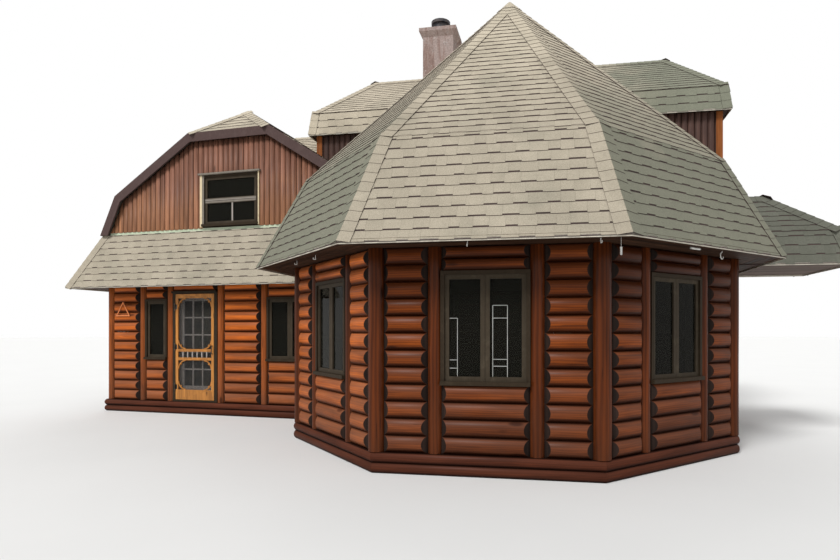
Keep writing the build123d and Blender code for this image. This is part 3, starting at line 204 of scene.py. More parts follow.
def pick(piece: Piece, kind: str, test: Callable[[Vector, Vector], bool]) -> None:
    """In edit mode, select the faces or edges that pass a test, and only these.

    Args:
        piece: the piece in edit mode.
        kind: "FACE" or "EDGE".
        test: takes the middle and the normal (of a face) or direction (of an edge).
    """
    mesh = bmesh.from_edit_mesh(piece.data)
    bpy.ops.mesh.select_all(action="DESELECT")
    mesh.select_mode = {kind}
    if kind == "FACE":
        found = [(face, face.calc_center_median(), face.normal) for face in mesh.faces]
    else:
        ends = [(edge, edge.verts[0].co, edge.verts[1].co) for edge in mesh.edges]
        found = [(edge, (a + b) / 2, (b - a).normalized()) for edge, a, b in ends]
    for part, middle, way in found:
        if test(middle, way):
            part.select_set(True)
    mesh.select_flush_mode()
    bmesh.update_edit_mesh(piece.data)


def ringed(piece: Piece, cuts: int) -> Piece:
    """Divide an upright bar's long edges, so that it can swell and wander."""
    with editing(piece):
        pick(piece, "EDGE", lambda middle, way: abs(way.z) > 0.9)
        bpy.ops.mesh.subdivide(number_cuts=cuts)
    return piece


def cut(piece: Piece, point: Numbers, normal: Numbers) -> Piece:
    """Cut away all of a piece on the side that a plane's normal points to, and close the cut.

    Args:
        piece: the piece to cut.
        point: a point on the plane.
        normal: towards the side that goes.

    Returns:
        The piece.
    """
    facing = Vector(normal)
    if max(((v.co - Vector(point)).dot(facing) for v in piece.data.vertices), default=0) <= 1e-6:
        return piece
    with editing(piece):
        bpy.ops.mesh.select_all(action="SELECT")
        bpy.ops.mesh.bisect(plane_co=point, plane_no=normal, use_fill=True, clear_outer=True, threshold=1e-5)
    return piece


def drop_buried(piece: Piece, buried: Test) -> Piece:
    """Delete the islands of a mesh that lie wholly inside something else."""
    with editing(piece):
        mesh = bmesh.from_edit_mesh(piece.data)
        bpy.ops.mesh.select_all(action="DESELECT")
        mesh.select_mode = {"VERT"}
        for vertex in mesh.verts:
            vertex.select_set(not buried(vertex.co))
        bmesh.update_edit_mesh(piece.data)
        bpy.ops.mesh.select_linked()
        bpy.ops.mesh.select_all(action="INVERT")
        bpy.ops.mesh.delete(type="VERT")
    return piece


def copied(piece: Piece, place: Matrix) -> Piece:
    """A copy with its own mesh, moved by a matrix that goes into the mesh."""
    twin = piece.copy()
    twin.data = piece.data.copy()
    twin.data.transform(place)
    bpy.context.collection.objects.link(twin)
    return twin


def moved(piece: Piece, place: Matrix) -> Piece:
    """Move a piece's mesh by a matrix."""
    piece.data.transform(place)
    piece.data.update()
    return piece


def modified(piece: Piece, kind: str, **settings: object) -> Piece:
    """Add a modifier with these settings to a piece, and apply it."""
    take(piece)
    change = piece.modifiers.new("change", kind)
    for name, value in settings.items():
        setattr(change, name, value)
    bpy.ops.object.modifier_apply(modifier="change")
    return piece


def arrayed(piece: Piece, count: int, step: Numbers) -> Piece:
    """Repeat a piece along a step."""
    if count < 2:
        return piece
    spacing = {"use_relative_offset": False, "use_constant_offset": True, "constant_offset_displace": step}
    return modified(piece, "ARRAY", count=count, **spacing)


def joined(name: str, pieces: Sequence[Piece]) -> Piece:
    """Join pieces into one with a name."""
    take(*pieces)
    if len(pieces) > 1:
        bpy.ops.object.join()
    whole = bpy.context.object
    whole.name = name
    whole.data.name = name
    return whole


def rounded(piece: Piece, width: float, segments: int = 2, angle: float = 30) -> Piece:
    """Bevel a piece's edges that are sharper than an angle."""
    limit = {"limit_method": "ANGLE", "angle_limit": math.radians(angle)}
    return modified(piece, "BEVEL", width=width, segments=segments, **limit)


def smoothed(piece: Piece, angle: float = 35) -> Piece:
    """Shade smooth but for edges sharper than an angle."""
    take(piece)
    bpy.ops.object.shade_smooth_by_angle(angle=math.radians(angle))
    return piece


def finished(
    piece: Piece, finish: "Finish | None" = None, nodes: Sequence[str] = (), body: str = "building"
) -> Piece:
    """Give a finished piece its finish, its body and the nodes it stands for.

    Args:
        piece: the piece, with its place in its mesh.
        finish: what it is finished in all over; none where its faces have theirs.
        nodes: CAD nodes that it stands for.
        body: the CAD body it rides on.

    Returns:
        The piece.
    """
    if finish:
        piece.data.materials.clear()
        piece.data.materials.append(finish.material())
    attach(piece, body)
    if nodes:
        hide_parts(*nodes)
    log.info("%s: %d faces on %s", piece.name, len(piece.data.polygons), body)
    return piece


# Shading


class Tree:
    """Short calls for building a node tree; entry and exit are a group's input and output nodes."""

    entry: Node
    exit: Node

    def __init__(self, tree: bpy.types.NodeTree) -> None:
        """Keep the tree."""
        self.tree = tree

    def fill(self, target: Node, inputs: dict) -> Node:
        """Link or set a node's inputs, by name or index."""
        for key, value in inputs.items():
            socket = target.inputs[key]
            if isinstance(value, Socket):
                self.tree.links.new(value, socket)
            else:
                socket.default_value = (*value, 1) if socket.type == "RGBA" and len(value) == 3 else value
        return target

    def node(self, kind: str, inputs: dict | None = None, **settings: object) -> Node:
        """Add a node.

        Args:
            kind: the node's type name.
            inputs: values or sockets for its inputs, by name or index.
            **settings: the node's own settings.

        Returns:
            The node.
        """
        made = self.tree.nodes.new(kind)
        for name, value in settings.items():
            setattr(made, name, value)
        return self.fill(made, inputs or {})

    def shared(self, name: str, inputs: dict) -> Node:
        """A shared effect's group placed in this tree, with its inputs filled."""
        return self.node("ShaderNodeGroup", inputs, node_tree=EFFECTS.groups[name])

    def maths(self, operation: str, *values: object, clamp: bool = False) -> Socket:
        """The result of a Math node."""
        return self.node("ShaderNodeMath", dict(enumerate(values)), operation=operation, use_clamp=clamp).outputs[0]

    def times(self, first: object, second: object) -> Socket:
        """The product of two numbers."""
        return self.maths("MULTIPLY", first, second)

    def times_add(self, first: object, second: object, more: object, clamp: bool = False) -> Socket:
        """The product of two numbers plus a third."""
        return self.maths("MULTIPLY_ADD", first, second, more, clamp=clamp)

    def noise(self, vector: object, scale: float, detail: float = 3, roughness: float = 0.5, warp: float = 0) -> Socket:
        """A noise texture's factor."""
        values = {"Vector": vector, "Scale": scale, "Detail": detail, "Roughness": roughness, "Distortion": warp}
        return self.node("ShaderNodeTexNoise", values).outputs[0]

    def cells(self, vector: object, scale: float) -> Socket:
        """The distance to the nearest of a scatter of points."""
        return self.node("ShaderNodeTexVoronoi", {"Vector": vector, "Scale": scale}).outputs[0]

    def stretch(self, vector: object, scale: Point) -> Socket:
        """A vector times a scale."""
        return self.node("ShaderNodeVectorMath", {0: vector, 1: scale}, operation="MULTIPLY").outputs[0]

    def part(self, vector: object, axis: int) -> Socket:
        """A vector's part along one axis."""
        return self.node("ShaderNodeSeparateXYZ", {0: vector}).outputs[axis]

    def ramp(self, value: object, low: float, high: float, start: float = 0.0, end: float = 1.0) -> Socket:
        """A smooth step from low to high."""
        values = {0: value, 1: low, 2: high, 3: start, 4: end}
        return self.node("ShaderNodeMapRange", values, interpolation_type="SMOOTHSTEP").outputs[0]

    def blend(self, share: object, first: object, second: object, mode: str = "MIX") -> Socket:
        """Two colours mixed."""
        settings = {"data_type": "RGBA", "blend_type": mode, "clamp_factor": True}
        return self.node("ShaderNodeMix", {0: share, 6: first, 7: second}, **settings).outputs[2]

    def toned(self, colour: object, tone: Socket) -> Socket:
        """A colour times a tone."""
        shade = self.node("ShaderNodeCombineXYZ", {0: tone, 1: tone, 2: tone}).outputs[0]
        return self.blend(1.0, colour, shade, "MULTIPLY")

    def bump(self, height: object, strength: float, distance: float) -> Socket:
        """The normal of a bump from a height."""
        values = {"Strength": strength, "Distance": distance, "Height": height}
        return self.node("ShaderNodeBump", values).outputs[0]

    def give(self, *values: Socket) -> None:
        """Link a group's outputs, in their order."""
        for index, value in enumerate(values):
            self.tree.links.new(value, self.exit.inputs[index])


@dataclass
class Effects:
    """The shader node groups that more than one finish uses."""

    groups: dict[str, bpy.types.NodeTree] = field(default_factory=dict)

    def start(self, name: str, inputs: dict[str, str], outputs: Sequence[str]) -> Tree:
        """Begin a group with named sockets.

        Args:
            name: the group's name.
            inputs: names and kinds of the sockets that go in.
            outputs: names of the numbers that come out.

        Returns:
            The group's tree, with its input and output nodes.
        """
        group = bpy.data.node_groups.new(name, "ShaderNodeTree")
        for side, sockets in (("INPUT", inputs), ("OUTPUT", dict.fromkeys(outputs, "Float"))):
            for label, kind in sockets.items():
                group.interface.new_socket(label, in_out=side, socket_type=f"NodeSocket{kind}")
        tree = Tree(group)
        tree.entry = group.nodes.new("NodeGroupInput")
        tree.exit = group.nodes.new("NodeGroupOutput")
        self.groups[name] = group
        return tree

    def build(self) -> None:
        """Build every group once."""
        self.grain()
        self.grit()
        self.grime_and_sheen()
        self.crevice_shade()

    def grain(self) -> None:
        """Wood grain that runs along X: streaks, broad bands, checks and knots."""
        inputs = {"Vector": "Vector", "Fineness": "Float", "Cracks": "Float"}
        tree = self.start("grain", inputs, ("Streaks", "Bands", "Checks", "Knots", "Height"))
        place, fineness, cracks = (tree.entry.outputs[index] for index in range(3))
        scaled = tree.node("ShaderNodeVectorMath", {0: place, "Scale": fineness}, operation="SCALE").outputs[0]
        fine = tree.noise(tree.stretch(scaled, (1.2, 26, 26)), 3.0, 5, 0.6, 0.4)
        broad = tree.noise(tree.stretch(scaled, (0.5, 5, 5)), 2.0, 3, 0.5, 0.5)
        wave = {"Vector": tree.stretch(scaled, (0.35, 5, 5)), "Scale": 2.4, "Distortion": 7.0}
        wave |= {"Detail": 2.0, "Detail Scale": 1.4}
        rings = tree.node("ShaderNodeTexWave", wave, bands_direction="Z").outputs[1]
        streaks = tree.times_add(fine, 0.4, tree.times(rings, 0.28))
        streaks = tree.times_add(broad, 0.32, streaks)
        slits = tree.noise(tree.stretch(place, (1.0, 34, 34)), 1.6, 2, 0.4, 0.3)
        patch = tree.ramp(tree.noise(place, 1.7, 2), 0.48, 0.62)
        checks = tree.times(tree.ramp(slits, 0.66, 0.7), tree.times(patch, cracks))
        knots = tree.ramp(tree.cells(tree.stretch(place, (1.1, 3.4, 3.4)), 1.0), 0.12, 0.05)
        dips = tree.maths("ADD", checks, tree.times(knots, 0.15))
        tree.give(streaks, broad, checks, knots, tree.maths("SUBTRACT", tree.times(streaks, 0.35), dips))

    def grit(self) -> None:
        """Mineral granules: fine speckle, blotches and a height."""
        tree = self.start("grit", {"Vector": "Vector"}, ("Speckle", "Blotches", "Height"))
        place = tree.entry.outputs[0]
        blotches = tree.noise(place, 1.5, 5, 0.62, 0.4)
        tree.give(tree.noise(place, 170, 2, 0.7), blotches, tree.cells(place, 260.0))

    def grime_and_sheen(self) -> None:
        """A mask that grows towards the ground, broken up by noise: dirt and dullness, with a painted sheen on logs and
        a painted highlight on boards.
        """
        tree = self.start("grime_and_sheen", {"Vector": "Vector", "Top": "Float"}, ("Mask",))
        place, top = tree.entry.outputs[0], tree.entry.outputs[1]
        uneven = tree.times(tree.maths("SUBTRACT", tree.noise(place, 2.2, 4), 0.5), 1.4)
        level = tree.maths("ADD", tree.part(place, 2), uneven)
        tree.give(tree.maths("SUBTRACT", 1.0, tree.maths("DIVIDE", level, top), clamp=True))

    def crevice_shade(self) -> None:
        """Painted shade where a log's round face turns into the joint above or below it."""
        tree = self.start("crevice_shade", {"Normal": "Vector"}, ("Mask",))
        level = tree.part(tree.entry.outputs[0], 2)
        below = tree.ramp(tree.times(level, -1.0), 0.22, 0.68)
        tree.give(tree.maths("MAXIMUM", below, tree.ramp(level, 0.62, 0.8)))


EFFECTS = Effects()


@dataclass(frozen=True)
class Finish:
    """A material with a name; each kind of finish paints its own nodes."""

    name: str

    def paint(self, tree: Tree, shader: Node, place: Socket) -> None:
        """Fill in the material's nodes."""
        raise NotImplementedError

    def material(self) -> bpy.types.Material:
        """The Blender material, made once and then reused."""
        label = f"{self.name}_finish"
        known = bpy.data.materials.get(label)
        if known:
            return known
        made = bpy.data.materials.new(label)
        made.use_nodes = True
        tree = Tree(made.node_tree)
        place = tree.node("ShaderNodeTexCoord").outputs["Object"]
        self.paint(tree, made.node_tree.nodes["Principled BSDF"], place)
        return made


class Grain(Enum):
    """Which way the grain of a wooden piece runs."""

    LEVEL = "level"
    UPRIGHT = "upright"


@dataclass(frozen=True)
class Stain(Finish):
    """Stained wood: grain, checks, knots, a tone of its own for each board or log.

    The worn tone shows lower down, as wear with a painted sheen, and on upper faces, as weathering with a painted
    sky-lit sheen. Painted shade darkens the faces that turn into a joint and, by eave, the height under a roof's edge.
    """

    light: Colour
    dark: Colour
    worn: Colour
    heading: float = 0.0
    grain: Grain = Grain.LEVEL
    fineness: float = 1.0
    cracks: float = 0.6
    # How low and how strongly the worn tone shows: wear with a painted sheen.
    wear_and_sheen_top: float = 1.6
    wear_and_sheen_share: float = 0.8
    tone_spread: float = 0.35
    roughness: float = 0.45
    coat: float = 0.1
    gloss: float = 0.2
    relief: float = 0.5
    # Painted shade at joints, weathering with a painted sky-lit sheen on upper faces, painted shade under the eave.
    joints: float = 0.0
    weather_and_sheen: float = 0.0
    eave: float = 0.0

    def grown(self, tree: Tree, place: Socket, chance: Socket) -> Node:
        """The grain, laid along the piece and shifted from one log to the next."""
        turn = (0.0, 0.0, -math.radians(self.heading))
        if self.grain is Grain.UPRIGHT:
            turn = (0.0, math.radians(90), 0.0)
        along = tree.node("ShaderNodeMapping", {"Vector": place, "Rotation": turn}).outputs[0]
        shift = tree.node("ShaderNodeCombineXYZ", {0: tree.times(chance, 37.0)}).outputs[0]
        along = tree.node("ShaderNodeVectorMath", {0: along, 1: shift}, operation="ADD").outputs[0]
        return tree.shared("grain", {"Vector": along, "Fineness": self.fineness, "Cracks": self.cracks})

    def darkened(self, share: float) -> Colour:
        """A share of the dark tone."""
        return tuple(share * value for value in self.dark)

    def paint(self, tree: Tree, shader: Node, place: Socket) -> None:
        """Grain along the piece; wear and painted sheen low down; painted shade at joints and eave; a tone per log."""
        geometry = tree.node("ShaderNodeNewGeometry").outputs
        chance, normal = geometry["Random Per Island"], geometry["Normal"]
        grain = self.grown(tree, place, chance).outputs
        grime_and_sheen = tree.shared("grime_and_sheen", {"Vector": place, "Top": self.wear_and_sheen_top}).outputs[0]
        streak = tree.ramp(grain["Streaks"], 0.2, 0.8)
        colour = tree.blend(streak, self.dark, self.light)
        worn = tree.blend(streak, tuple(0.7 * value for value in self.worn), self.worn)
        # Lower down: wear, with a painted sheen on logs and a painted highlight on boards.
        colour = tree.blend(tree.times(grime_and_sheen, self.wear_and_sheen_share), colour, worn)
        # Upper faces: weathering, with a painted sky-lit sheen.
        if self.weather_and_sheen:
            above = tree.times(tree.ramp(tree.part(normal, 2), -0.12, 0.42), self.weather_and_sheen)
            colour = tree.blend(above, colour, self.worn)
        bands = tree.ramp(grain["Bands"], 0.3, 0.7, 0.78, 1.15)
        tone = tree.times_add(chance, self.tone_spread, 1.0 - self.tone_spread / 2)
        colour = tree.toned(colour, tree.times(bands, tone))
        marks = tree.maths("MAXIMUM", grain["Checks"], tree.times(grain["Knots"], 0.75))
        colour = tree.blend(marks, colour, self.darkened(0.16))
        # Painted shade where a face turns into a joint.
        if self.joints:
            crevice_shade = tree.shared("crevice_shade", {"Normal": normal}).outputs[0]
            colour = tree.blend(tree.times(crevice_shade, self.joints), colour, self.darkened(0.1))
        # Painted shade under the eave, darker with height.
        if self.eave:
            under = tree.times(tree.ramp(tree.part(place, 2), 1.3, 2.35), self.eave)
            colour = tree.blend(under, colour, self.darkened(0.2))
        rough = tree.times_add(grain["Streaks"], 0.22, self.roughness - 0.1)
        rough = tree.maths("ADD", rough, tree.times(grime_and_sheen, 0.2), clamp=True)
        surface = {"Base Color": colour, "Roughness": rough, "Normal": tree.bump(grain["Height"], self.relief, 0.004)}
        surface |= {"Coat Weight": self.coat, "Coat Roughness": 0.28, "Specular IOR Level": self.gloss}
        tree.fill(shader, surface)


@dataclass(frozen=True)
class Shingles(Finish):
    """Granule-faced roof shingles, each tab with its own tone.

    Moss shows in patches. Painted shade in the moss colour darkens towards the right end and, by sides, low down
    on faces that look sideways. Painted light pales what lies high up.
    """

    pale: Colour
    deep: Colour
    # The moss colour also paints shade; shade to the right and on side faces, and light up high, are painted.
    moss_and_shade: Colour = (0.16, 0.17, 0.13)
    moss_share: float = 0.25
    right_shade: float = 0.8
    sides: float = 0.0
    top_light: float = 0.0

    def paint(self, tree: Tree, shader: Node, place: Socket) -> None:
        """Speckle over blotches over a tone for each tab."""
        geometry = tree.node("ShaderNodeNewGeometry").outputs
        grit = tree.shared("grit", {"Vector": place}).outputs
        blotch = tree.ramp(grit["Blotches"], 0.3, 0.7)
        mix = tree.times_add(blotch, 0.5, tree.times_add(geometry["Random Per Island"], 0.3, 0.1))
        colour = tree.blend(mix, self.deep, self.pale)
        patches = tree.ramp(tree.noise(place, 0.9, 4, 0.6), 0.52, 0.72)
        colour = tree.blend(tree.times(patches, self.moss_share), colour, self.moss_and_shade)
        # Painted shade towards the right end, in the moss colour.
        right = tree.ramp(tree.times_add(blotch, 0.8, tree.part(place, 0)), 0.9, 3.0)
        colour = tree.blend(tree.times(right, self.right_shade), colour, self.moss_and_shade)
        # Painted shade low down on faces that look sideways, in the moss colour.
        if self.sides:
            facing = tree.ramp(tree.maths("ABSOLUTE", tree.part(geometry["Normal"], 0)), 0.3, 0.6)
            low = tree.ramp(tree.times_add(blotch, -1.6, tree.part(place, 2)), 5.0, 3.0)
            colour = tree.blend(tree.times(tree.times(facing, low), self.sides), colour, self.moss_and_shade)
        speck = tree.ramp(grit["Speckle"], 0.25, 0.75, 0.72, 1.28)
        # Painted light: paler high up.
        if self.top_light:
            height = tree.times_add(blotch, 0.6, tree.part(place, 2))
            speck = tree.times(speck, tree.ramp(height, 4.2, 6.6, 1.0, 1.0 + self.top_light))
        surface = {"Base Color": tree.toned(colour, speck), "Normal": tree.bump(grit["Height"], 0.5, 0.0015)}
        tree.fill(shader, surface | {"Roughness": 0.92, "Specular IOR Level": 0.05})


@dataclass(frozen=True)
class Paint(Finish):
    """Painted wood or metal: a coat with faint brush marks, dirt and worn places."""

    colour: Colour
    worn: Colour
    roughness: float = 0.5
    wear: float = 0.4
    gloss: float = 0.12
    brush: float = 0.35

    def paint(self, tree: Tree, shader: Node, place: Socket) -> None:
        """Worn patches where noise says so, and brush marks in the bump."""
        worn = tree.times(tree.ramp(tree.noise(place, 6.5, 6, 0.68, 0.3), 0.5, 0.66), self.wear)
        marks = tree.noise(tree.stretch(place, (30, 30, 6)), 3.0, 4, 0.6)
        colour = tree.toned(tree.blend(worn, self.colour, self.worn), tree.ramp(marks, 0.25, 0.75, 0.86, 1.12))
        rough = tree.times_add(worn, 0.3, self.roughness, clamp=True)
        surface = {"Base Color": colour, "Roughness": rough, "Normal": tree.bump(marks, self.brush, 0.002)}
        tree.fill(shader, surface | {"Specular IOR Level": self.gloss})


@dataclass(frozen=True)
class Render(Finish):
    """Rendered masonry: rough, streaked and stained."""

    colour: Colour
    stain: Colour
    pale: Colour

    def paint(self, tree: Tree, shader: Node, place: Socket) -> None:
        """Pitted render with rust stains that run down."""
        lumps = tree.noise(place, 34, 6, 0.7)
        runs = tree.ramp(tree.noise(tree.stretch(place, (5, 5, 0.8)), 1.6, 5, 0.65, 0.6), 0.46, 0.64)
        flakes = tree.ramp(tree.noise(place, 7, 5, 0.7, 0.8), 0.6, 0.66)
        colour = tree.blend(flakes, tree.blend(runs, self.colour, self.stain), self.pale)
        colour = tree.toned(colour, tree.ramp(lumps, 0.3, 0.7, 0.75, 1.15))
        surface = {"Base Color": colour, "Normal": tree.bump(tree.maths("ADD", lumps, flakes), 0.7, 0.006)}
        tree.fill(shader, surface | {"Roughness": 0.95, "Specular IOR Level": 0.1})


@dataclass(frozen=True)
class Pane(Finish):
    """Tinted window glass with slightly wavy faces."""

    tint: Colour = (0.09, 0.087, 0.065)

    def paint(self, tree: Tree, shader: Node, place: Socket) -> None:
        """Clear tinted glass."""
        surface = {"Base Color": self.tint, "Normal": tree.bump(tree.noise(place, 2.4, 1), 0.12, 0.01)}
        tree.fill(shader, surface | {"Roughness": 0.015, "Transmission Weight": 0.92, "IOR": 1.1})


@dataclass(frozen=True)
class Gauze(Finish):
    """Insect screen: a fine weave with open meshes."""

    colour: Colour = (0.05, 0.05, 0.05)
    dusty: Colour = (0.07, 0.065, 0.058)
    pitch: float = 0.0032
    half_thread: float = 0.075

    def paint(self, tree: Tree, shader: Node, place: Socket) -> None:
        """Wires where either thread is, and air between."""
        turn = (0.0, 0.0, -math.radians(WING_TURN))
        turned = tree.node("ShaderNodeMapping", {"Vector": place, "Rotation": turn}).outputs[0]
        threads = []
        for axis in (0, 2):
            phase = tree.maths("FRACT", tree.maths("DIVIDE", tree.part(turned, axis), self.pitch))
            off = tree.maths("ABSOLUTE", tree.maths("SUBTRACT", phase, 0.5))
            threads.append(tree.maths("LESS_THAN", off, self.half_thread))
        colour = tree.blend(tree.ramp(tree.noise(place, 8, 4), 0.3, 0.7), self.colour, self.dusty)
        surface = {"Base Color": colour, "Alpha": tree.maths("MAXIMUM", *threads)}
        tree.fill(shader, surface | {"Roughness": 0.7, "Specular IOR Level": 0.1})


@dataclass(frozen=True)
class Metal(Finish):
    """Bare or blackened metal with a mottled face."""

    colour: Colour
    patina: Colour
    roughness: float = 0.4
    metallic: float = 1.0

    def paint(self, tree: Tree, shader: Node, place: Socket) -> None:
        """Patina in patches."""
        patches = tree.ramp(tree.noise(place, 14, 6, 0.7), 0.4, 0.65)
        rough = tree.ramp(patches, 0.0, 1.0, self.roughness, self.roughness + 0.25)
        surface = {"Base Color": tree.blend(patches, self.colour, self.patina), "Roughness": rough}
        tree.fill(shader, surface | {"Metallic": self.metallic, "Normal": tree.bump(patches, 0.2, 0.001)})


@dataclass(frozen=True)
class Ground(Finish):
    """The plain pale floor, white to the camera where nothing shades it."""

    colour: Colour = (0.82, 0.82, 0.81)

    def paint(self, tree: Tree, shader: Node, place: Socket) -> None:
        """A faint mottling that keeps the floor from being flat."""
        mottle = tree.ramp(tree.noise(place, 0.6, 4), 0.3, 0.7, 0.985, 1.0)
        tree.fill(shader, {"Base Color": tree.toned(self.colour, mottle), "Roughness": 0.9})


def headed(kind: str, heading: float) -> str:
    """The name of a finish whose grain runs on a heading."""
    return f"{kind}_{int(round(heading)) % 360}"


def log_stain(heading: float) -> Stain:
    """The stain of wall logs on a heading, in a lit copy where that wall has painted sunlight."""
    # Painted sunlight: walls that run with the wing's front, and the front-left wall, get a lit copy of the tones.
    painted_sunlight = abs(heading - WING_TURN) < 1 or math.cos(math.radians(heading + 45)) > 0.95
    tones = ((0.27, 0.059, 0.006), (0.13, 0.026, 0.0038), (0.118, 0.044, 0.024))
    if painted_sunlight:
        tones = ((0.64, 0.155, 0.018), (0.37, 0.076, 0.011), (0.2, 0.08, 0.042))
    # Painted shade under the eave, strongest on the right-hand walls and lighter on the front.
    eave = 0.82 if 20 < heading < 100 else 0.4 if abs(heading) < 1 else 0.0
    wear = {"roughness": 0.42, "coat": 0.07, "gloss": 0.08, "joints": 0.95, "weather_and_sheen": 0.55, "eave": eave}
    return Stain(headed("log_stain", heading), *tones, heading, tone_spread=0.36, **wear)


def sill_stain(heading: float) -> Stain:
    """The darker stain of sill logs that run on a heading."""
    tones = ((0.15, 0.033, 0.012), (0.07, 0.016, 0.006), (0.085, 0.026, 0.0135))
    wear = {"tone_spread": 0.3, "roughness": 0.5, "coat": 0.05, "gloss": 0.07, "joints": 0.9, "weather_and_sheen": 0.5}
    return Stain(headed("sill_stain", heading), *tones, heading, **wear)


DULL = {"wear_and_sheen_share": 0.0, "roughness": 0.6, "coat": 0.0, "gloss": 0.05, "tone_spread": 0.5, "cracks": 0.3}


def soffit_shade_stain(heading: float = 0.0) -> Stain:
    """The stain of eave boards that run on a heading, dark as painted shade."""
    tones = ((0.062, 0.031, 0.018), (0.028, 0.0145, 0.009), (0.09, 0.05, 0.03))
    return Stain(headed("soffit_shade_stain", heading), *tones, heading, **DULL)


UPRIGHT = {"grain": Grain.UPRIGHT}
OILED = {**UPRIGHT, "roughness": 0.38, "coat": 0.08, "gloss": 0.08}
SIDING = {**UPRIGHT, "tone_spread": 0.4, "roughness": 0.55, "coat": 0.03, "cracks": 0.3}
# Dark log ends: end grain, with painted shade.
END_GRAIN_AND_SHADE = Stain(
    "log_end_grain_and_shade", (0.026, 0.015, 0.011), (0.011, 0.0075, 0.006), (0.034, 0.021, 0.017),
    fineness=0.6, roughness=0.7, coat=0.0, gloss=0.1, **UPRIGHT,
)
# Painted shade under the eave on the posts.
POST_STAIN = Stain(
    "post_stain", (0.125, 0.028, 0.0055), (0.05, 0.0115, 0.003), (0.105, 0.03, 0.0105),
    fineness=0.55, wear_and_sheen_top=0.9, tone_spread=0.2, eave=0.3, **OILED,
)
# A lit copy of the post stain: painted sunlight on the wing's posts.
SUNLIT_WING_POST_STAIN = Stain(
    "sunlit_wing_post_stain", (0.34, 0.09, 0.019), (0.17, 0.04, 0.009), (0.17, 0.062, 0.03),
    wear_and_sheen_top=1.1, tone_spread=0.25, **OILED,
)
# Near black: painted shade in the gaps between boards.
GROOVE_SHADE = Stain(
    "groove_shade", (0.03, 0.015, 0.01), (0.014, 0.008, 0.006), (0.03, 0.015, 0.01),
    gloss=0.05, coat=0.0, **UPRIGHT,
)
# Lower down, the bright worn tone is a painted highlight.
BOARD_STAIN = Stain(
    "board_stain", (0.27, 0.125, 0.08), (0.14, 0.058, 0.036), (0.5, 0.225, 0.08),
    wear_and_sheen_top=4.6, wear_and_sheen_share=1.6, **SIDING,
)
UPPER_BOARD_STAIN = Stain(
    "upper_board_stain", (0.1, 0.052, 0.04), (0.048, 0.025, 0.02), (0.1, 0.05, 0.038), **SIDING
)
CANOPY_STAIN = Stain(
    "canopy_board_stain", (0.17, 0.12, 0.095), (0.095, 0.062, 0.047), (0.14, 0.09, 0.06), **DULL
)
FLOOR_STAIN = Stain(
    "floor_stain", (0.2, 0.11, 0.05), (0.13, 0.065, 0.03), (0.15, 0.085, 0.045), wear_and_sheen_share=0.0, roughness=0.4
)
SCREEN_STAIN = Stain(
    "screen_wood_stain", (0.56, 0.24, 0.05), (0.36, 0.13, 0.025), (0.42, 0.19, 0.055),
    wear_and_sheen_share=0.3, tone_spread=0.12, roughness=0.38, coat=0.15, cracks=0.15, **UPRIGHT,
)
CORNER_STAIN = Stain(
    "corner_board_stain", (0.34, 0.115, 0.032), (0.2, 0.06, 0.017), (0.3, 0.11, 0.035),
    gloss=0.08, coat=0.05, **UPRIGHT,
)
FRAME_PAINT = Paint("window_paint", (0.034, 0.024, 0.015), (0.066, 0.048, 0.031), 0.5, 0.35, 0.06)
SASH_PAINT = Paint("sash_paint", (0.052, 0.04, 0.027), (0.1, 0.08, 0.056), 0.5, 0.4, 0.06)
TRIM_PAINT = Paint("pale_trim_paint", (0.7, 0.58, 0.38), (0.42, 0.3, 0.17), 0.6, 0.5)
BAR_PAINT = Paint("window_bar_paint", (0.42, 0.38, 0.34), (0.28, 0.25, 0.22), 0.5, 0.4)
TAUPE_PAINT = Paint("taupe_trim_paint", (0.2, 0.175, 0.145), (0.3, 0.27, 0.23), 0.55, 0.5)
DOOR_PAINT = Paint("door_paint", (0.4, 0.36, 0.33), (0.28, 0.24, 0.21), 0.45, 0.25)
SPINDLE_PAINT = Paint("spindle_paint", (0.42, 0.38, 0.35), (0.28, 0.23, 0.19), 0.5, 0.3)
FASCIA_PAINT = Paint("fascia_paint", (0.08, 0.05, 0.046), (0.12, 0.083, 0.076), 0.5, 0.3)
FLASHING_PAINT = Paint("flashing_paint", (0.6, 0.68, 0.5), (0.4, 0.46, 0.35), 0.5, 0.5)
DRIP_PAINT = Paint("drip_edge_paint", (0.6, 0.56, 0.47), (0.3, 0.26, 0.21), 0.45, 0.5)
HOOK_PAINT = Paint("hook_paint", (0.75, 0.74, 0.7), (0.5, 0.48, 0.44), 0.4, 0.2)
TRIANGLE_PAINT = Paint("triangle_paint", (0.78, 0.27, 0.1), (0.5, 0.16, 0.06), 0.45, 0.3)
SHINGLE_TONES = ((0.47, 0.415, 0.325), (0.345, 0.305, 0.237))
SHINGLE = Shingles("shingle", *SHINGLE_TONES, right_shade=0.9, top_light=0.3)
PAVILION_SHINGLE = Shingles("pavilion_shingle", *SHINGLE_TONES, right_shade=0.0, sides=0.8, top_light=0.3)
# A darker copy of the shingles for the canopy: painted shade.
SHADED_SHINGLE = Shingles("shaded_shingle", (0.15, 0.15, 0.125), (0.1, 0.1, 0.082), right_shade=0.2)
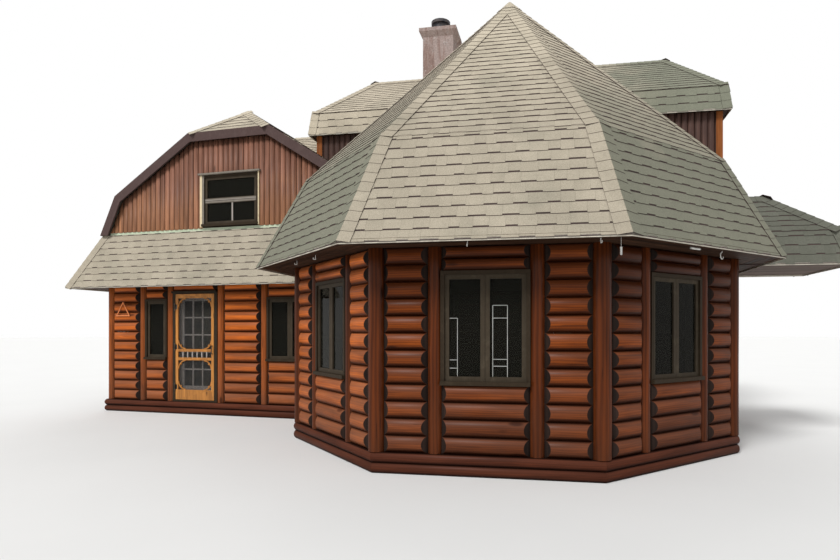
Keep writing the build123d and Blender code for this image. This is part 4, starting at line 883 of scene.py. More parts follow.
# Dark edges: the shingles' own dark edges and band, also painted shadow under tabs and caps.
SHINGLE_EDGE_AND_SHADOW = Shingles("shingle_edge_and_shadow", (0.1, 0.07, 0.065), (0.055, 0.04, 0.038), moss_share=0.0, right_shade=0.0)
SHINGLE_BED = Shingles("shingle_bed", (0.1, 0.095, 0.075), (0.06, 0.057, 0.045))
CHIMNEY_RENDER = Render("chimney_render", (0.38, 0.3, 0.275), (0.27, 0.185, 0.16), (0.5, 0.44, 0.41))
FLUE_METAL = Metal("flue_metal", (0.035, 0.035, 0.04), (0.09, 0.075, 0.07), 0.45, 0.6)
CAP_METAL = Metal("cap_metal", (0.26, 0.25, 0.2), (0.34, 0.32, 0.26), 0.6, 0.3)
FITTING_METAL = Metal("fitting_metal", (0.05, 0.045, 0.04), (0.12, 0.1, 0.085), 0.35)
LEAD = Metal("lead_came", (0.4, 0.4, 0.38), (0.55, 0.55, 0.53), 0.5, 0.6)
GLASS = Pane("window_glass")
GAUZE = Gauze("insect_screen")
GROUND = Ground("studio_floor")


def two_tone(piece: Piece, finishes: tuple[Finish, Finish], second: Test) -> None:
    """Give a piece two finishes, the second one where a test of the faces' normal holds."""
    for finish in finishes:
        piece.data.materials.append(finish.material())
    for polygon in piece.data.polygons:
        polygon.material_index = int(second(polygon.normal))


def redressed(piece: Piece, old: Finish, new: Finish) -> Piece:
    """Put one finish in another's place on a piece."""
    for slot in piece.material_slots:
        if slot.material == old.material():
            slot.material = new.material()
    return piece


def dress_node(node: str, finish: Finish) -> None:
    """Give a CAD node that stays its finish."""
    for socket in frame["nodes"][node].material_slots:
        socket.material = finish.material()


# Walls


def turned(point: Numbers, degrees: float) -> Matrix:
    """From a frame that stands at a plan point, turned about its upright axis, to the frame round it."""
    return Matrix.Translation((point[0], point[1], 0)) @ Matrix.Rotation(math.radians(degrees), 4, "Z")


@dataclass(frozen=True)
class Wall:
    """A straight run of wall, seen from outside, with its start on the left."""

    start: Spot
    heading: float
    length: float

    @classmethod
    def between(cls, start: Numbers, end: Numbers) -> "Wall":
        """A wall from one plan point to another."""
        dx, dy = end[0] - start[0], end[1] - start[1]
        return cls((start[0], start[1]), math.degrees(math.atan2(dy, dx)), math.hypot(dx, dy))

    @property
    def place(self) -> Matrix:
        """From the wall's own frame, x along, y inwards and z up, to the building's."""
        return turned(self.start, self.heading)

    def point(self, along: float) -> Spot:
        """A plan point on the wall's centre line."""
        spot = self.place @ Vector((along, 0, 0))
        return (spot.x, spot.y)


def wing_place() -> Matrix:
    """From the wing's own frame, a along its front and b inwards, to the building's."""
    return turned(WING_CENTRE, WING_TURN)


def wing_back_place() -> Matrix:
    """The same for the wing's back, seen from behind."""
    return wing_place() @ turned((0, WING_DEPTH), 180)


def wing_point(a: float, b: float) -> Spot:
    """A plan point of the wing in the building's frame."""
    spot = wing_place() @ Vector((a, b, 0))
    return (spot.x, spot.y)


def octagon_point(index: int, apothem: float = PAVILION_APOTHEM) -> Spot:
    """A corner of the eight-sided plan; 0 is at the left of the front side."""
    angle = index * EIGHTH - HALF_EIGHTH
    ring = apothem / math.cos(HALF_EIGHTH)
    return (ring * math.sin(angle), -ring * math.cos(angle))


@dataclass
class Plan:
    """Every wall of the ground floor, by name, anticlockwise round the building."""

    walls: dict[str, Wall] = field(default_factory=dict)

    def __post_init__(self) -> None:
        """Lay out the walls, each from its own corner to the next one's."""
        slope = math.cos(math.radians(WING_TURN))
        block_corner = octagon_point(3)[1]
        corners = {
            "pavilion_left": wing_point((-PAVILION_APOTHEM - WING_CENTRE[0]) / slope, 0),
            "front_left": octagon_point(-1),
            "front": octagon_point(0),
            "front_right": octagon_point(1),
            "right": octagon_point(2),
            "stub": octagon_point(3),
            "block_side": (BLOCK_X[1], block_corner),
            "block_rear": (BLOCK_X[1], BLOCK_Y[1]),
            "wing_right": wing_point(WING_HALF, (BLOCK_Y[1] - wing_point(WING_HALF, 0)[1]) / slope),
            "wing_back": wing_point(WING_HALF, WING_DEPTH),
            "wing_left": wing_point(-WING_HALF, WING_DEPTH),
            "wing_front": wing_point(-WING_HALF, 0),
        }
        spots = list(corners.values())
        for name, start, end in zip(corners, spots, [*spots[1:], spots[0]]):
            self.walls[name] = Wall.between(start, end)


PLAN = Plan()


@dataclass(frozen=True)
class Bay:
    """A stack of logs between two posts; as tall as the wall where nothing else is said."""

    wall: str
    left: float
    right: float
    bottom: float = SILL_TOP
    top: float = WALL_TOP
    courses: int = WALL_COURSES

    @property
    def pitch(self) -> float:
        """The height of one course."""
        return (self.top - self.bottom) / self.courses


@dataclass
class LogStacks:
    """The horizontal logs of the walls, each with a round face and bevelled ends."""

    face: float = LOG_FACE
    back: float = LOG_BACK
    shoulder: float = 0.025
    facets: int = 56
    joint: float = 0.0008
    edge_round: float = 0.006
    wander: float = 0.0035
    slip: float = 0.002

    def pattern(self, bay: Bay) -> Piece:
        """One log of a bay in its wall's frame, with its middle at z = 0."""
        bulge = self.face - LOG_GROOVE
        radius = (bay.pitch * bay.pitch / 4 + bulge * bulge) / (2 * bulge)
        axis = radius - self.face
        piece = rod("log", (bay.left, axis, 0), (bay.right, axis, 0), radius, self.facets)
        cut(piece, (0, self.back, 0), (0, 1, 0))
        for sign in (1, -1):
            cut(piece, (0, 0, sign * (bay.pitch / 2 - self.joint)), (0, 0, sign))
        cut(piece, (bay.left, -self.shoulder, 0), (-1, -1, 0))
        cut(piece, (bay.right, -self.shoulder, 0), (1, -1, 0))
        return rounded(piece, self.edge_round, 2, 32)

    def stack(self, bay: Bay, seed: int) -> Piece:
        """All the logs of a bay, in the building's frame."""
        wall = PLAN.walls[bay.wall]
        first = smoothed(self.pattern(bay), 40)
        # End faces dark: end grain with painted shade.
        two_tone(first, (log_stain(wall.heading), END_GRAIN_AND_SHADE), lambda normal: abs(normal.x) > 0.5)
        chance = random.Random(seed)
        logs = []
        for number in range(bay.courses):
            swell = 1 + chance.uniform(-self.wander, self.wander) / self.face
            slip = chance.uniform(-self.slip, self.slip)
            lift = Matrix.Translation((slip, 0, bay.bottom + (number + 0.5) * bay.pitch))
            logs.append(copied(first, wall.place @ lift @ Matrix.Diagonal((1, swell, 1, 1))))
        bpy.data.objects.remove(first)
        return joined("logs", logs)

    def build(self, name: str, bays: Sequence[Bay], *nodes: str) -> None:
        """The logs of one wall, which stand for its CAD node."""
        stacks = [self.stack(bay, 7 * number + len(name)) for number, bay in enumerate(bays)]
        finished(joined(name, stacks), nodes=nodes)


@dataclass
class LogWalls:
    """All the log walls, wall by wall; each flat is how far a post keeps the logs from its centre."""

    corner_flat: float = 0.088
    window_flat: float = 0.07216
    wing_flat: float = 0.066
    window: Spot = (SILL_TOP + 4 * COURSE, SILL_TOP + 4 * COURSE + 1.265)
    wing_window: Spot = (1.04, 2.22)
    low_courses: int = 4
    top_courses: int = 2
    door_head: float = 2.362

    def whole(self, wall: str, left: float, right: float) -> list[Bay]:
        """The one stack of a wall without openings."""
        return [Bay(wall, left, PLAN.walls[wall].length - right)]

    def windowed(self, wall: str, end: float, flat: float, window: Spot) -> list[Bay]:
        """The four stacks of a wall with a window between two posts.

        Args:
            wall: the wall's name.
            end: how far the logs stay from the wall's two ends.
            flat: from a post's centre to the logs' ends.
            window: the window's foot and top.

        Returns:
            The stacks.
        """
        length = PLAN.walls[wall].length
        near, far = length / 2 - POST_OFFSET, length / 2 + POST_OFFSET
        return [
            Bay(wall, end, near - flat),
            Bay(wall, far + flat, length - end),
            Bay(wall, near + flat, far - flat, SILL_TOP, window[0], self.low_courses),
            Bay(wall, near + flat, far - flat, window[1], WALL_TOP, self.top_courses),
        ]

    def doorway(self) -> list[Bay]:
        """The stacks beside and over the side door."""
        middle = PLAN.walls["right"].length / 2
        near, far = middle - POST_OFFSET, middle + POST_OFFSET
        return [
            Bay("right", self.corner_flat, near - self.window_flat),
            Bay("right", far + self.window_flat, 2 * middle - self.corner_flat),
            Bay("right", near + self.window_flat, far - self.window_flat, self.door_head, WALL_TOP, 1),
        ]

    def front(self) -> list[Bay]:
        """The stacks of the wing's front, with its door and two windows."""
        spots = [WING_HALF + station for station in WING_STATIONS] + [PLAN.walls["wing_front"].length]
        gaps = [("wing_front", a + self.wing_flat, b - self.wing_flat) for a, b in zip(spots[:-1], spots[1:])]
        bays = [Bay(*gaps[k]) for k in (0, 3, 5)]
        bays.append(Bay(*gaps[2], self.door_head, WALL_TOP, 1))
        for k in (1, 4):
            bays.append(Bay(*gaps[k], SILL_TOP, self.wing_window[0], self.low_courses))
            bays.append(Bay(*gaps[k], self.wing_window[1], WALL_TOP, self.top_courses))
        return bays

    @staticmethod
    def plate(wall: str) -> Bay:
        """The plate log before the upper floor's edge."""
        return Bay(wall, 0.0, PLAN.walls[wall].length, WALL_TOP, UPPER_FOOT, 1)

    def build(self) -> None:
        """Build each wall's logs."""
        corner, wing = self.corner_flat, self.wing_flat
        pavilion = {
            side: self.windowed(side, corner, self.window_flat, self.window)
            for side in ("front_left", "front", "front_right")
        }
        others = {
            wall: self.windowed(wall, wing, wing, self.wing_window)
            for wall in ("wing_left", "wing_back", "block_rear", "block_side")
        }
        stacks = LogStacks()
        for name, bays, *nodes in (
            *((side, bays, f"pavilion_{side}_logs") for side, bays in pavilion.items()),
            ("left", self.whole("pavilion_left", wing, corner), "pavilion_left_logs"),
            ("right", self.doorway(), "pavilion_right_logs"),
            ("wing_front", self.front(), "wing_front_logs"),
            ("wing_left", others["wing_left"], "wing_left_logs"),
            ("wing_back", others["wing_back"], "wing_back_logs"),
            ("block_rear", [*others["block_rear"], self.plate("block_rear")], "block_back_logs"),
            ("wing_right", self.whole("wing_right", wing, wing), "wing_right_logs"),
            ("block_side", [*others["block_side"], self.plate("block_side")]),
            ("block_stub", self.whole("stub", corner, wing), "block_side_logs"),
        ):
            stacks.build(f"{name}_round_logs", bays, *nodes)


@dataclass
class Posts:
    """The round posts, slightly wavy along their length, with softened ends."""

    corner: float = 0.1
    window: float = 0.082
    wing: float = 0.075
    facets: int = 28
    rings: int = 7
    still: float = 0.05
    wander: float = 0.0025
    slow_wave: float = 1.3
    side_share: float = 0.6
    edge_round: float = 0.006

    def one(self, spot: Spot, radius: float, seed: int) -> Piece:
        """One post at a plan point."""
        piece = ringed(rod("post", (*spot, SILL_TOP), (*spot, WALL_TOP), radius, self.facets), self.rings)
        chance = random.Random(seed)
        waves = [(chance.uniform(-1, 1), chance.uniform(0, 6.3)) for _ in range(3)]
        for vertex in piece.data.vertices:
            rise = vertex.co.z
            if not SILL_TOP + self.still < rise < WALL_TOP - self.still:
                continue
            for number, (strength, phase) in enumerate(waves):
                shift = self.wander * strength * math.sin(rise * (self.slow_wave + number) + phase)
                vertex.co.x += shift
                vertex.co.y -= shift * self.side_share
        return smoothed(rounded(piece, self.edge_round, 2, 50), 40)

    @staticmethod
    def starts(*walls: str) -> list[Spot]:
        """The plan points where these walls start."""
        return [PLAN.walls[wall].start for wall in walls]

    @staticmethod
    def pairs(*walls: str) -> list[Spot]:
        """The plan points of the two posts beside each wall's middle bay."""
        return [
            run.point(run.length / 2 + sign * POST_OFFSET) for run in map(PLAN.walls.get, walls) for sign in (-1, 1)
        ]

    def group(self, name: str, spots: Sequence[Spot], radius: float, node: str, stain: Stain = POST_STAIN) -> None:
        """The posts that stand for one CAD node."""
        posts = [self.one(spot, radius, 31 * number + len(name)) for number, spot in enumerate(spots)]
        finished(joined(name, posts), stain, [node])

    def build(self) -> None:
        """All posts, node by node."""
        corners = [octagon_point(k) for k in range(-1, 4)]
        self.group("corner_round_posts", corners, self.corner, "pavilion_corner_posts")
        spots = self.pairs("front_left", "front", "front_right", "right")
        self.group("window_round_posts", spots, self.window, "pavilion_window_posts")
        spots = self.starts("wing_front", "wing_left", "wing_back", "pavilion_left", "wing_right")
        spots += [wing_point(station, 0) for station in WING_STATIONS[1:]]
        spots += self.pairs("wing_left", "wing_back")
        self.group("wing_round_posts", spots, self.wing, "wing_posts", SUNLIT_WING_POST_STAIN)
        spots = self.starts("block_side", "block_rear") + self.pairs("block_side", "block_rear")
        self.group("block_round_posts", spots, self.wing, "block_posts")


@dataclass
class Sills:
    """Two round sill logs under every wall, mitred at the corners."""

    groove: float = 0.078
    bulge: float = 0.027
    back: float = 0.09
    course: float = 0.1175
    joint: float = 0.0006
    spare: float = 0.3
    facets: int = 40
    edge_round: float = 0.004

    def run(self, before: Wall, wall: Wall, after: Wall) -> Piece:
        """The two logs under one wall, cut to the mitres it shares with its neighbours."""
        radius = (self.course**2 / 4 + self.bulge**2) / (2 * self.bulge)
        axis = radius - self.groove - self.bulge
        logs = []
        for number in range(2):
            ends = (-self.spare, axis, 0), (wall.length + self.spare, axis, 0)
            piece = rod("sill", *ends, radius, self.facets)
            cut(piece, (0, self.back, 0), (0, 1, 0))
            for sign in (1, -1):
                cut(piece, (0, 0, sign * (self.course / 2 - self.joint)), (0, 0, sign))
            for at, neighbour, sign in ((0, before, -1), (wall.length, after, 1)):
                bend = math.radians((neighbour.heading - wall.heading + 180) % 360 - 180) / 2
                cut(piece, (at, 0, 0), (sign * math.cos(bend), sign * math.sin(bend), 0))
            lift = Matrix.Translation((0, 0, (number + 0.5) * self.course))
            logs.append(moved(rounded(piece, self.edge_round, 2, 32), wall.place @ lift))
        return smoothed(joined("sill", logs), 40)

    def build(self) -> None:
        """One run of logs to each side of the building, joined by heading."""
        walls = list(PLAN.walls.values())
        groups: dict[int, list[Piece]] = {}
        for before, wall, after in zip([walls[-1], *walls], walls, [*walls[1:], walls[0]]):
            groups.setdefault(int(round(wall.heading)) % 360, []).append(self.run(before, wall, after))
        nodes = ["sill_logs"]
        for heading, logs in groups.items():
            finished(joined(f"sill_round_logs_{heading}", logs), sill_stain(heading), nodes)
            nodes = []


# Roofs


def octagon_corner(index: int, ring: Spot) -> Vector:
    """A corner of the pavilion's roof at a level: apothem and height."""
    return Vector((*octagon_point(index, ring[0]), ring[1]))


def in_block(point: Vector) -> bool:
    """Whether a point is well inside the upper block or its roof."""
    margin, reach = DEEP_IN_BLOCK, BLOCK_REACH - DEEP_IN_BLOCK_ROOF
    walls = BLOCK_X[0] - margin < point.x < BLOCK_X[1] + margin and BLOCK_Y[0] + margin < point.y < BLOCK_Y[1] - margin
    wide = BLOCK_X[0] - reach < point.x < BLOCK_X[1] + reach and BLOCK_Y[0] - reach < point.y < BLOCK_Y[1] + reach
    half = (BLOCK_Y[1] - BLOCK_Y[0]) / 2 + BLOCK_REACH - BLOCK_LEAN
    roof = BLOCK_EAVE + BLOCK_BAND + BLOCK_RISE * (1 - abs(point.y - BLOCK_MIDDLE) / half) - DEEP
    return (walls and point.z < BLOCK_EAVE + OVER_BLOCK_EAVE) or (wide and BLOCK_EAVE < point.z < roof)


def in_wing(point: Vector) -> bool:
    """Whether a point is well inside the wing's roof."""
    local = wing_place().inverted() @ point
    width = abs(local.x)
    under = local.z < WING_RIDGE - width * WING_PITCH - DEEP
    inside = local.z < WING_EAVE[1] + (WING_EAVE[0] - width) * WING_LOW_RATE - 2 * DEEP
    reach = GABLE_REACH - DEEP
    if local.z < PENT_TOP:
        share = (PENT_TOP - local.z) / (PENT_TOP - WING_EAVE[1])
        reach = PENT_TOP_REACH + share * (WING_EAVE_REACH - PENT_TOP_REACH) - DEEP
    return under and inside and -reach < local.y < WING_DEPTH + reach and local.z > WING_EAVE[1]


def in_pavilion(point: Vector) -> bool:
    """Whether a point is well inside the pavilion's roof."""
    reach = max(point.x * math.sin(k * EIGHTH) - point.y * math.cos(k * EIGHTH) for k in range(8))
    low = (PAVILION_KINK[1] - WALL_TOP) / (PAVILION_EAVE - PAVILION_KINK[0])
    surface = min(
        WALL_TOP + (PAVILION_EAVE - reach) * low, PAVILION_KINK[1] + (PAVILION_KINK[0] - reach) * PAVILION_HIGH_RATE
    )
    return WALL_TOP - DEEP < point.z < surface - DEEP


def in_saddle(point: Vector) -> bool:
    """Whether a point is inside the saddle between the wing's ridge and the block."""
    between = BLOCK_Y[0] < point.y < BLOCK_Y[1] and WING_CENTRE[0] < point.x < BLOCK_X[0]
    return between and point.z < WING_RIDGE - abs(point.y - BLOCK_MIDDLE) * WING_PITCH - DEEP_IN_SADDLE


def either(*tests: Test) -> Test:
    """A test that passes where any of these does."""
    return lambda point: any(test(point) for test in tests)


def framed(x: Vector, y: Vector, z: Vector, start: Vector) -> Matrix:
    """From the frame with these axes and this start to the one they are given in."""
    return Matrix((*((x[k], y[k], z[k], start[k]) for k in range(3)), (0, 0, 0, 1)))


@dataclass(frozen=True)
class Slope:
    """One flat face of a roof: an eave line, an up-slope direction and what trims it."""

    name: str
    left: Vector
    right: Vector
    up: Vector
    trims: Sequence[Plane]
    start: float = 0.0

    @property
    def place(self) -> Matrix:
        """From the slope's frame, x along, y up the slope and z outwards, to the building's."""
        along = (self.right - self.left).normalized()
        rise = (self.up - along * self.up.dot(along)).normalized()
        return framed(along, rise, along.cross(rise), self.left)


@dataclass
class ShingleCovering:
    """Laminated shingles: high and low tabs in turn, over a dark strip that shows under the high ones.

    spare is how far they start before a slope's left end and go past its right end, before the trimming.
    """

    exposure: float = 0.14
    overlap: float = 0.03
    butt: float = 0.012
    head: float = 0.002
    unit: float = 1.6
    tab_width: Spot = (0.11, 0.21)
    pairs: int = 5
    rows: int = 5
    drop: float = 0.017
    strip: float = 0.0055
    strip_width: float = 0.06
    strip_lap: float = 0.0008
    slit: float = 0.001
    sag: float = 0.001
    high_share: float = 0.86
    row_shift: float = 0.3
    spare: Spot = (0.35, 0.4)
    phase_step: float = 0.09
    phases: int = 11
    seed: int = 41
    bench: Piece | None = None

    def tab_widths(self, chance: random.Random) -> list[float]:
        """Widths of one row's tabs, which add up to the unit."""
        widths = [chance.uniform(*self.tab_width) for _ in range(2 * self.pairs)]
        share = self.unit / sum(widths)
        return [width * share for width in widths]

    def blank(self, name: str, deep: float, thick: float, finish: Finish) -> Piece:
        """A wedge one metre wide, thick at its lower edge and thin at its upper."""
        piece = box(name, (0, 0, 0), (1, deep, thick))
        with editing(piece):
            pick(piece, "EDGE", lambda middle, way: middle.y > 0.9 * deep and middle.z > thick / 2 and abs(way.x) > 0.9)
            bpy.ops.transform.translate(value=(0, 0, self.head - thick))
        # Butt faces dark: the edge's own colour with painted shadow.
        two_tone(piece, (finish, SHINGLE_EDGE_AND_SHADOW), lambda normal: normal.y < -0.9)
        return piece

    def patch(self) -> Piece:
        """A patch of rows, a unit wide, that the covering is laid from."""
        chance = random.Random(self.seed)
        tab = self.blank("tab", self.exposure + self.overlap, self.butt, SHINGLE)
        strip = self.blank("strip", self.strip_width, self.strip, SHINGLE_EDGE_AND_SHADOW)
        tabs, strips = [], []
        for row in range(self.rows):
            at = chance.uniform(0, self.row_shift)
            foot = row * self.exposure
            place = Matrix.Translation((at, foot - self.drop + self.strip_lap, 0))
            strips.append(copied(strip, place @ Matrix.Diagonal((self.unit, 1, 1, 1))))
            for number, width in enumerate(self.tab_widths(chance)):
                low = number % 2
                thick = (1.0 if low else self.high_share) * chance.uniform(0.95, 1.05)
                sag = chance.uniform(-self.sag, self.sag) - self.drop * low
                place = Matrix.Translation((at, foot + sag, 0))
                tabs.append(copied(tab, place @ Matrix.Diagonal((width - self.slit, 1, thick, 1))))
                at += width
        for pattern in (tab, strip):
            bpy.data.objects.remove(pattern)
        return joined("shingle_patch", tabs + strips)

    def lay(self, slope: Slope, buried: Test) -> Piece:
        """Cover one slope.

        Args:
            slope: the roof face.
            buried: tells whether a point lies inside another part of the building.

        Returns:
            The covering in the building's frame.
        """
        if self.bench is None:
            self.bench = self.patch()
            self.bench.hide_render = True
        length, height = (slope.right - slope.left).length, slope.up.length
        phase = (sum(map(ord, slope.name)) % self.phases) * self.phase_step
        piece = copied(self.bench, Matrix.Translation((-phase - self.spare[0], slope.start, 0)))
        piece.hide_render = False
        arrayed(piece, math.ceil((length + phase + self.spare[1]) / self.unit), (self.unit, 0, 0))
        deep = self.rows * self.exposure
        arrayed(piece, math.ceil((height - slope.start) / deep), (0.0, deep, 0))
        moved(piece, slope.place)
        for point, normal in slope.trims:
            cut(piece, point, normal)
        return drop_buried(piece, buried)


def hip_plane(low: Numbers, high: Numbers, away: Numbers) -> Plane:
    """The plane through a hip line that faces away from the slope it trims.

    Args:
        low: the hip's foot.
        high: the hip's head.
        away: the direction, across the hip, that goes.

    Returns:
        A point and a normal.
    """
    line = (Vector(high) - Vector(low)).normalized()
    across = Vector(away)
    return Vector(low), (across - line * across.dot(line)).normalized()


@dataclass
class HipCaps:
    """Folded caps that run up a hip, each lapping the one below."""

    length: float = 0.19
    half: float = 0.155
    exposure: float = 0.14
    thick: float = 0.007
    lift: Spot = (0.015, 0.007)

    def fold(self, piece: Piece, drops: dict[int, float]) -> None:
        """Fold a flat cap along its middle, by an angle on each side, and lift its lower end."""
        for vertex in piece.data.vertices:
            x, z = vertex.co.x, vertex.co.z
            if abs(x) > 0.001:
                sign = 1 if x > 0 else -1
                turn = drops[sign]
                vertex.co.x = sign * self.half * math.cos(turn) + sign * z * math.sin(turn)
                vertex.co.z = -self.half * math.sin(turn) + z * math.cos(turn)
            vertex.co.z += self.lift[0] if vertex.co.y < 0.001 else self.lift[1]

    def run(self, foot: Vector, head: Vector, outs: Sequence[Vector]) -> Piece:
        """A run of caps from a hip's foot to its head.

        Args:
            foot: the hip's foot.
            head: its head.
            outs: the outward normals of the slopes on the left and on the right, looking up.

        Returns:
            The caps in the building's frame.
        """
        line = (head - foot).normalized()
        out = (outs[0] + outs[1]).normalized()
        side = line.cross(out).normalized()
        out = side.cross(line).normalized()
        drops = {}
        for sign, face in zip((-1, 1), outs):
            way = face.cross(line).normalized()
            way *= 1 if sign * way.dot(side) >= 0 else -1
            drops[sign] = math.atan2(-way.dot(out), sign * way.dot(side))
        piece = box("cap", (-self.half, 0, 0), (self.half, self.length, self.thick))
        with editing(piece):
            bpy.ops.mesh.select_all(action="SELECT")
            bpy.ops.mesh.bisect(plane_co=(0, 0, 0), plane_no=(1, 0, 0))
        self.fold(piece, drops)
        # Edges and underside dark: the cap's edge with painted shadow.
        two_tone(piece, (SHINGLE, SHINGLE_EDGE_AND_SHADOW), lambda normal: normal.z <= 0.3)
        count = max(1, round((head - foot).length / self.exposure))
        arrayed(piece, count, (0, (head - foot).length / count, 0))
        return moved(piece, framed(side, line, out, foot))


@dataclass
class RoofWork:
    """One roof's shingles and caps in the making, given in that roof's own frame.

    buried tells whether a point lies inside another part of the building.
    """

    covering: ShingleCovering
    buried: Test
    place: Matrix = field(default_factory=lambda: Matrix.Identity(4))
    shingles: list[Piece] = field(default_factory=list)
    caps: list[Piece] = field(default_factory=list)

    def face(
        self, name: str, eave: Sequence[Numbers], up: Numbers, trims: Sequence[Plane],
        buried: Test | None = None, start: float = 0.0,
    ) -> None:
        """Cover one face.

        Args:
            name: the face's name.
            eave: the eave's left and right ends, seen from outside.
            up: from the eave to the top, along the slope.
            trims: points and normals of the planes that trim the covering.
            buried: what is buried here, if not what is buried elsewhere in this roof.
            start: how far up the slope the covering starts.
        """
        turn = self.place.to_3x3()
        left, right = (self.place @ Vector(end) for end in eave)
        planes = [(self.place @ Vector(point), turn @ Vector(normal)) for point, normal in trims]
        slope = Slope(name, left, right, turn @ Vector(up), planes, start)
        self.shingles.append(self.covering.lay(slope, buried or self.buried))

    def hip(self, low: Numbers, high: Numbers, outs: Sequence[Numbers]) -> None:
        """Caps along a hip or ridge, with the outward normals of the faces on its left and right."""
        turn = self.place.to_3x3()
        normals = [turn @ Vector(out).normalized() for out in outs]
        self.caps.append(HipCaps().run(self.place @ Vector(low), self.place @ Vector(high), normals))

    def finish(self, name: str, buried: Test, finish: Finish = SHINGLE, top: float | None = None) -> None:
        """Join and finish the shingles and the caps.

        Args:
            name: the roof's name.
            buried: what of the caps is buried.
            finish: what the tabs are finished in.
            top: where the caps end, if not at the hips' heads.
        """
        finished(redressed(joined(f"{name}_shingles", self.shingles), SHINGLE, finish))
        caps = drop_buried(joined(f"{name}_hip_caps", self.caps), buried)
        if top:
            cut(caps, (0, 0, top), (0, 0, 1))
        finished(redressed(caps, SHINGLE, finish))


